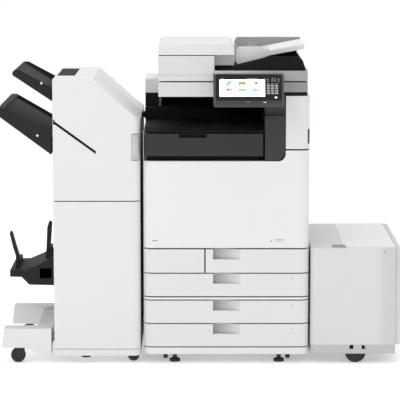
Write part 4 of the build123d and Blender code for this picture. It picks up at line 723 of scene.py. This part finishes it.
def painted_gap_shade():
    """Painted shade: near-black sheets behind the gap over the door, in the toner door's handle, under the
    scanner, in the feeder's notch and on the shoulder, standing in for the shade there.
    """
    door_low, door_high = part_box("toner_door")
    low, high = door_low.z / MM, door_high.z / MM
    scanner_low, scanner_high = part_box("scanner_tub")
    neck = at((scanner_high.x - ENGINE_LEFT) / MM - 45, 4.0, scanner_low.z / MM + 10.2)
    notch = at(302, 56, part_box("adf_base")[1].z / MM + 9)
    shoulder = at(26.5, 399.5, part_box("cavity_liner")[1].z / MM - 45)
    for name, spot, size, depth, radius, body in (
            ("gap_strip", at(222, 30, low - 10), (424, 34), 3, 2, "chassis"),
            ("toner_handle_back", at(185.5, 10.9, high - 11.2), (101, 19), 0.4, 2, "toner_door"),
            ("toner_handle_brow", at(185.5, 0.0, high - 2.4), (99, 3.4), 0.5, 1, "toner_door"),
            ("scanner_neck", neck, (86, 13), 0.6, 2, "chassis"),
            ("feeder_notch", notch, (70, 15), 4, 3, "adf"),
            ("shoulder_shade", shoulder, (53, 56), 0.4, 2, "chassis")):
        plate(name, spot, FRONTWARD, size, depth, radius, DEEP_BLACK, body)


def floor_ribs():
    """Low ribs along the delivery tray's floor."""
    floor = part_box("buffer_pass")[0].z / MM - 0.6
    repeat("delivery_ribs", key_template(3, 230, 1.4, 1.2, 0.5), 9, 1, (0.37, 0.0),
           facing(at(224, 180, floor), *UPWARD), TRAY_CHARCOAL, "chassis")


TOWER_CORNER = 33


def engine_marks():
    """Faint marks on the front door, and the curved grip on the tower's corner."""
    door = "front_door"
    plate("door_mark_left", at(44, 0, 468), FRONTWARD, (20, 3.2), 0.25, 0.8, MARK_GRAY, door)
    plate("door_mark_dot", at(478, 0, 466), FRONTWARD, (6, 6), 0.25, 2.8, MARK_GRAY, door)
    for i, width in enumerate((40, 24)):
        spot = at(510 - 3 * i, 0, 472 - i * 6)
        plate(f"door_mark_right_{i}", spot, FRONTWARD, (width, 2.4), 0.25, 0.6, GRIP_GRAY, door)
    tower_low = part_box("tower_cover")[0].z / MM
    low, high = tower_low + 18, tower_low + 74
    corner = ((ENGINE_RIGHT - ENGINE_LEFT) / MM - TOWER_CORNER, TOWER_CORNER)
    corner_band("tower_grip", corner, TOWER_CORNER + 0.2, (50, 88), (low, high), 3.0, SEAM_GRAY, "chassis")
    corner_band("tower_grip_hollow", corner, TOWER_CORNER + 0.3, (56, 88), (low + 5, high - 5), 3.0,
                DEEP_BLACK, "chassis")


def louvre_template():
    """Hooded slat over one rear vent slot."""
    shape = bmesh.new()
    width, rise, proud, lip = 0.088, 0.0052, 0.0014, 0.0006
    profile = ((0.0, 0.0), (rise, 0.0), (rise, 0.0004), (lip, proud), (0.0, proud))
    ends = []
    for x in (-width / 2, width / 2):
        ends.append([shape.verts.new((x, y, z)) for y, z in profile])
    skin(shape, ends)
    shape.faces.new(list(reversed(ends[0])))
    shape.faces.new(ends[1])
    return to_mesh(shape, "louvre_template")


def socket_ring(name, origin, outer, inner, depth, material):
    """Square collar with an open middle, for a connector on the back."""
    shape = bmesh.new()
    place = facing(origin, *BACKWARD)
    rings = []
    for size, height in ((outer, 0.0), (outer, depth), (inner, depth), (inner, 0.0)):
        outline = rounded_outline(size[0] * MM, size[1] * MM, 2.0 * MM, 4)
        rings.append([shape.verts.new(place @ Vector((x, y, height * MM))) for x, y in outline])
    skin(shape, rings + rings[:1])
    return finished(to_mesh(shape, name), name, material, "chassis")


REAR_MIDDLE, REAR_SCREW_REACH = 0.098, 0.292
LOUVRE_HEIGHT, INLET_HEIGHT, CONNECTOR_HEIGHT = 0.5862, 0.16, 0.84
PANEL_PROUD = 0.0012
# (right of the engine's left side in metres, width and height in millimetres)
CONNECTORS = ((0.40, 18, 14), (0.43, 16, 9), (0.46, 16, 9), (0.50, 34, 12))


def rear_pieces():
    """Screws, louvres, power inlet and connectors on the back."""
    low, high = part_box("rear_cover")
    back = high.y
    middle = (low.z + high.z) / 2
    for side, name in ((-1, "left"), (1, "right")):
        face = facing(Vector((REAR_MIDDLE + side * REAR_SCREW_REACH, back, middle)), *BACKWARD)
        repeat(f"rear_screws_{name}", screw_template(), 1, 7, (0.0, 0.86), face, SCREW_STEEL, "chassis")
    for column in range(3):
        x = ENGINE_LEFT + 0.62 * (0.25 + 0.25 * column)
        face = facing(Vector((x, back, LOUVRE_HEIGHT)), *BACKWARD)
        repeat(f"rear_louvres_{column}", louvre_template(), 1, 9, (0.0, 0.112), face, COVER_WHITE, "chassis")
    inlet = Vector((ENGINE_LEFT + 0.08, back, INLET_HEIGHT))
    socket_ring("power_inlet_collar", inlet, (44, 34), (32, 24), 1.9, CHARCOAL)
    plate("power_inlet_well", inlet, BACKWARD, (31, 23), 0.3, 2, DEEP_BLACK, "chassis")
    face = facing(inlet + Vector((0, 0.0003, 0)), *BACKWARD)
    repeat("power_inlet_pins", key_template(2.0, 6.0, 1.3, 0.6, 0.2), 3, 1, (0.014, 0.0), face,
           SCREW_STEEL, "chassis")
    for i, (x, width, height) in enumerate(CONNECTORS):
        spot = Vector((ENGINE_LEFT + x, back, CONNECTOR_HEIGHT))
        socket_ring(f"connector_{i}", spot, (width, height), (width - 5, height - 4), 1.6, SCREW_STEEL)
        plate(f"connector_{i}_well", spot, BACKWARD, (width - 5.4, height - 4.4), 0.3, 1, DEEP_BLACK,
              "chassis")
    rating = Vector((ENGINE_LEFT + 0.16, back, 0.25))
    plate("rating_plate", rating, BACKWARD, (90, 46), 0.2, 2, GRIP_GRAY, "chassis")
    access = Vector((ENGINE_LEFT + 0.45, back, 0.30))
    plate("rear_access_panel", access, BACKWARD, (260, 300), PANEL_PROUD / MM, 6, COVER_WHITE, "chassis")
    face = facing(access + Vector((0, PANEL_PROUD, 0)), *BACKWARD)
    repeat("access_panel_screws", screw_template(2.6, 0.7), 2, 3, (0.236, 0.27), face, SCREW_STEEL, "chassis")


# ---- Finisher
def turned(name, origin, axis, profile, material, body, steps=40):
    """Solid of revolution: profile of (reach, along) in millimetres round an axis through the origin."""
    shape = bmesh.new()
    axis = Vector(axis).normalized()
    side = axis.orthogonal().normalized()
    other = axis.cross(side)
    rings = []
    for reach, along in profile:
        ring = []
        for i in range(steps):
            angle = 2 * math.pi * i / steps
            spot = side * math.cos(angle) + other * math.sin(angle)
            ring.append(shape.verts.new(origin + (spot * reach + axis * along) * MM))
        rings.append(ring)
    skin(shape, rings)
    shape.faces.new(list(reversed(rings[0])))
    shape.faces.new(rings[-1])
    return finished(to_mesh(shape, name), name, material, body)


# Turned outlines: (reach, along) in millimetres
TYRE = ((15.0, -0.6), (20.5, -0.4), (23.0, 2.2), (23.2, 5.0), (23.2, 15.0), (23.0, 17.8), (20.5, 20.4),
        (15.0, 20.6))
PAD = ((17, 20), (18, 21), (18, 26), (15, 29.6))
CASTER_HUB = ((4.6, -0.1), (17.5, -0.1), (18.2, 0.5), (17.8, 1.1), (16.2, 1.2), (15.6, 0.5), (4.6, 0.5))
DECK_HUB = ((3.0, -0.1), (24, -0.1), (25.5, 0.6), (25, 1.3), (22.5, 1.4), (21.5, 0.7), (9, 0.7), (8, 1.5),
            (3.0, 1.5))
TYRE_HEIGHT = 0.0234


def floor_pieces(left, right):
    """Tyres of the finisher's fixed casters, its levelling pads, and hubs of the moving wheels."""
    depth = (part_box("finisher_shell")[1].y - FRONT) / MM
    for y, name in ((42.0, "front"), (depth - 60, "rear")):
        hub = Vector((right - 0.028, FRONT + y * MM, TYRE_HEIGHT))
        turned(f"finisher_tyre_{name}", hub, (0, 1, 0), TYRE, SOFT_RUBBER, "chassis")
        foot = Vector((left + 0.117, FRONT + (y - 8) * MM, 0.0))
        turned(f"finisher_pad_{name}", foot, (0, 0, 1), PAD, DEEP_BLACK, "chassis")
    for end in ("front", "rear"):
        body = f"caster_wheel_{end}"
        low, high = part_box(body)
        middle = Vector(((low.x + high.x) / 2, low.y, (low.z + high.z) / 2))
        turned(f"caster_hub_{end}", middle, (0, -1, 0), CASTER_HUB, CHARCOAL, body)
    low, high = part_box("deck_wheels")
    for y, outward, end in ((low.y, -1, "front"), (high.y, 1, "rear")):
        middle = Vector(((low.x + high.x) / 2, y, (low.z + high.z) / 2))
        turned(f"deck_hub_{end}", middle, (0, outward, 0), DECK_HUB, CHARCOAL, "deck_wheels")


# Stack trays: height of the ribs' root, slope, length of the ribs in millimetres, and the white dot's
# place beside the tray's right end and over the floor
TRAY_LOOKS = {"upper_stack_tray": (1.016, 79 / 129, 106, -0.038, 1.052),
              "lower_stack_tray": (0.851, 99 / 171, 150, -0.051, 0.862)}
SLIT = [(2, 903), (9, 903), (160, 793), (160, 804), (9, 914), (2, 914)]
SLIT_HOOK = [(0.5, 914), (0.5, 921), (7, 921), (9, 914)]
SHELL_CORNER = 28
TOP_WELL_DEPTH = 0.366


def finisher_pieces():
    low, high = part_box("finisher_upper_door")
    left = Vector((low.x, FRONT, 0))
    body = "finisher_upper_door"
    strip("stack_slit", SLIT, FRONTWARD, left, 0.4, DEEP_BLACK, body)
    strip("stack_slit_hook", SLIT_HOOK, FRONTWARD, left, 0.4, SEAM_GRAY, body)
    corner = ((high.x - ENGINE_LEFT) / MM - SHELL_CORNER, SHELL_CORNER)
    corner_band("side_grip_edge", corner, SHELL_CORNER + 0.3, (-9, 62), (768, 869), 2.0, MARK_GRAY, body)
    corner_band("side_grip", corner, SHELL_CORNER + 0.6, (-5, 58), (771, 866), 2.0, GRIP_LIGHT, body)
    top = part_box("finisher_top_cover")[1].z
    well = Vector((low.x + 0.040, FRONT + TOP_WELL_DEPTH, top))
    plate("top_tray_well", well, UPWARD, (68, 352), 0.25, 5, DEEP_BLACK, "chassis")
    lip = Vector((low.x + 0.077, FRONT + TOP_WELL_DEPTH, top))
    plate("top_tray_lip", lip, UPWARD, (6, 352), 0.5, 2.5, FINISHER_WHITE, "chassis")
    for tray, (root, slope, reach, dot_x, dot_z) in TRAY_LOOKS.items():
        t_low, t_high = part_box(tray)
        spot = Vector((t_high.x + dot_x, t_low.y, dot_z))
        plate(f"{tray}_dot", spot, FRONTWARD, (9, 9), 0.6, 4.4, MARK_WHITE, tray)
        wide = (t_high.y - t_low.y) - 0.06
        angle = math.atan(slope)
        along = Vector((-math.cos(angle), 0, math.sin(angle)))
        start = Vector((t_high.x, (t_low.y + t_high.y) / 2, root))
        face = facing(start + along * (0.5 * reach * MM + 0.012), (0, -1, 0), along)
        repeat(f"{tray}_ribs", key_template(3.0, reach, 1.6, 1.2, 0.5), 9, 1, (wide * 0.86, 0.0), face,
               TRAY_CHARCOAL, tray)
    floor_pieces(low.x, high.x)
    base_low, base_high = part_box("finisher_shell")
    middle = (base_low.x + base_high.x) / 2
    face = facing(Vector((middle, base_high.y, 0.48)), *BACKWARD)
    repeat("finisher_rear_screws", screw_template(), 2, 5, (0.27, 0.78), face, SCREW_STEEL, "chassis")
    face = facing(Vector((middle, base_high.y, 0.78)), *BACKWARD)
    repeat("finisher_rear_louvres", louvre_template(), 2, 8, (0.12, 0.09), face, FINISHER_WHITE, "chassis")


# ---- Feeder
def swept(name, profile, y0, y1, material, body):
    """Profile given as (x, z) in millimetres from the engine's left side, run from y0 to y1."""
    shape = bmesh.new()
    steps = 6
    rings = []
    for i in range(steps + 1):
        y = y0 + (y1 - y0) * i / steps
        rings.append([shape.verts.new(at(x, y, z)) for x, z in profile])
    skin(shape, rings)
    shape.faces.new(rings[0])
    shape.faces.new(list(reversed(rings[-1])))
    piece = finished(to_mesh(shape, name), name, material, body)
    edge = piece.modifiers.new("edge", "BEVEL")
    edge.width = 0.0015
    edge.segments = 3
    edge.limit_method = "ANGLE"
    edge.angle_limit = math.radians(30)
    return piece


def guide_handles():
    """Finger grips on the two document guides."""
    for name in ("front", "rear"):
        low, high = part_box(f"document_guide_{name}")
        x, z = (low.x - ENGINE_LEFT) / MM, high.z / MM
        y = (low.y - FRONT) / MM
        grip = [(x + 6, z - 26), (x + 40, z - 16), (x + 44, z - 4), (x + 38, z + 4), (x + 14, z + 2),
                (x + 6, z - 8)]
        swept(f"guide_grip_{name}", grip, y - 1.4, y + 7.4, GUIDE_GRAY, f"guide_{name}")


def tray_flare():
    """White bed of the document tray, curling up to a thick lip at its right end."""
    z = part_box("adf_output_tray")[0].z / MM
    top = [(470, z + 72), (500, z + 80), (540, z + 88), (575, z + 94.5), (594, z + 98), (600, z + 96)]
    under = [(601, z + 84), (592, z + 80), (560, z + 77), (520, z + 70), (490, z + 64), (470, z + 60)]
    swept("document_tray_lip", top + under, 66.5, 300, COVER_WHITE, "document_tray")


def up_slope(rise, run):
    angle = math.atan(rise / run)
    return Vector((math.cos(angle), 0, math.sin(angle)))


def feeder_pieces():
    bed_low, bed_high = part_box("document_tray")
    out_low, out_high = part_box("adf_output_tray")
    along = up_slope(31, 95)
    start = Vector((ENGINE_LEFT + 0.362, 0, out_low.z + 0.032))
    centre = start + along * 0.052 + Vector((0, (bed_low.y + bed_high.y) / 2, 0))
    repeat("document_bed_ribs", key_template(2.4, 78, 0.3, 1.0, 0.2), 9, 1, (0.34, 0.0),
           facing(centre, (0, -1, 0), along), TRAY_GRAY, "document_tray")
    along = up_slope(24, 108)
    centre = Vector((ENGINE_LEFT + 0.386, (out_low.y + out_high.y) / 2, out_low.z + 0.0150))
    repeat("output_tray_ribs", key_template(3.0, 96, 1.6, 1.2, 0.5), 7, 1, (0.34, 0.0),
           facing(centre, (0, -1, 0), along), CHARCOAL, "adf")
    tray_flare()
    guide_handles()
    cover_low, cover_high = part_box("adf_top_cover")
    top = cover_high.z - 0.0004
    catch = Vector((cover_high.x - 0.03, cover_low.y + 0.12, top))
    plate("cover_catch", catch, UPWARD, (16, 34), 0.3, 4, GRIP_GRAY, "adf_top_cover")
    mark = Vector((cover_high.x - 0.058, cover_low.y + 0.06, top))
    plate("cover_mark", mark, UPWARD, (22, 5), 0.3, 2, GRIP_GRAY, "adf_top_cover")


# ---- Paper deck
def deck_pieces():
    low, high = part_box("deck_shell")
    grip = low.x + 0.1075
    lamp_x, lamp_z = low.x + 0.277, 0.424
    seam = Vector((low.x + 0.1235, (low.y + high.y) / 2, high.z))
    for name, spot, directions, size, depth, radius, finish in (
            ("deck_lamp", Vector((lamp_x, low.y, lamp_z)), FRONTWARD, (7, 7), 0.5, 3.4, GRIP_GRAY),
            ("deck_lamp_core", Vector((lamp_x, low.y - 0.0005, lamp_z)), FRONTWARD, (3.6, 3.6), 0.4, 1.7,
             MARK_GRAY),
            ("deck_grip_shade", Vector((grip, low.y + 0.0115, high.z - 0.0195)), UPWARD, (52, 15), 0.4, 3,
             MARK_GRAY),
            ("deck_grip_rim", Vector((grip, low.y + 0.052, high.z)), UPWARD, (54, 58), 0.25, 4, GRIP_GRAY),
            ("deck_grip_well", Vector((grip, low.y + 0.050, high.z + 0.0002)), UPWARD, (48, 50), 0.25, 4,
             MARK_GRAY),
            ("deck_seam", seam, UPWARD, (1.6, 560), 0.2, 0.5, GRIP_GRAY)):
        plate(name, spot, directions, size, depth, radius, finish, "chassis")
    face = facing(Vector((low.x + 0.16, high.y, 0.25)), *BACKWARD)
    repeat("deck_rear_screws", screw_template(), 3, 3, (0.27, 0.3), face, SCREW_STEEL, "chassis")


# ---- Stage, lights and camera
FLOOR_REACH, FLOOR_LEVEL, FLOOR_GLOW = 120.0, -0.0005, 0.30
SKY_LIGHT, SKY_SEEN = 0.78, 1.0
AIM = Vector((0, 0, 0.6))
# Name, place, size and watts
LAMPS = (("key", (-2.6, -3.4, 3.6), 2.6, 42), ("fill", (3.0, -3.6, 2.2), 2.6, 8),
         ("top", (0, 0.2, 4.6), 3.2, 58))
EYE_DISTANCE, EYE_HEIGHT, EYE_TILT, FOCAL_LENGTH = 8.0, 1.722, 7.835, 195.1


def stage():
    """Pale floor that runs to the horizon, an even white sky and three soft lamps."""
    shape = bmesh.new()
    shape.faces.new([shape.verts.new((x * FLOOR_REACH, y * FLOOR_REACH, FLOOR_LEVEL))
                     for x, y in ((-1, -1), (1, -1), (1, 1), (-1, 1))])
    mesh = bpy.data.meshes.new("studio_floor")
    shape.to_mesh(mesh)
    shape.free()
    ground = bpy.data.objects.new("studio_floor", mesh)
    bpy.context.scene.collection.objects.link(ground)
    paint = plastic("studio_paint", (0.93, 0.93, 0.93), 0.8, cells=40.0, bump=0.0, tone=0.005)
    glow = paint.node_tree.nodes["Principled BSDF"]
    glow.inputs["Specular IOR Level"].default_value = 0.0
    glow.inputs["Emission Color"].default_value = (1, 1, 1, 1)
    glow.inputs["Emission Strength"].default_value = FLOOR_GLOW
    mesh.materials.append(paint)
    world = bpy.data.worlds.new("studio")
    bpy.context.scene.world = world
    world.use_nodes = True
    tree = world.node_tree
    sky = tree.nodes["Background"]
    sky.inputs["Color"].default_value = (1, 1, 1, 1)
    rays = node(tree, "ShaderNodeLightPath")
    level = node(tree, "ShaderNodeMapRange", {"To Min": SKY_LIGHT, "To Max": SKY_SEEN},
                 {"Value": rays.outputs["Is Camera Ray"]})
    wire(tree, sky, {"Strength": level.outputs["Result"]})
    for name, place, size, energy in LAMPS:
        lamp = bpy.data.lights.new(name, "AREA")
        lamp.energy = energy
        lamp.size = size
        holder = bpy.data.objects.new(name, lamp)
        holder.location = place
        holder.rotation_euler = (AIM - Vector(place)).to_track_quat("-Z", "Y").to_euler()
        bpy.context.scene.collection.objects.link(holder)
    bpy.context.scene.view_settings.view_transform = "Standard"


def camera():
    lens = bpy.data.cameras.new("camera")
    lens.sensor_width = 36.0
    lens.lens = FOCAL_LENGTH
    lens.clip_end = 100.0
    holder = bpy.data.objects.new("camera", lens)
    holder.location = (0.0, FRONT - EYE_DISTANCE, EYE_HEIGHT)
    holder.rotation_euler = (math.radians(90 - EYE_TILT), 0, 0)
    bpy.context.scene.collection.objects.link(holder)
    bpy.context.scene.camera = holder


dress_nodes()
panel_pieces()
drawer_pieces()
painted_gap_shade()
floor_ribs()
engine_marks()
rear_pieces()
finisher_pieces()
feeder_pieces()
deck_pieces()
stage()
camera()
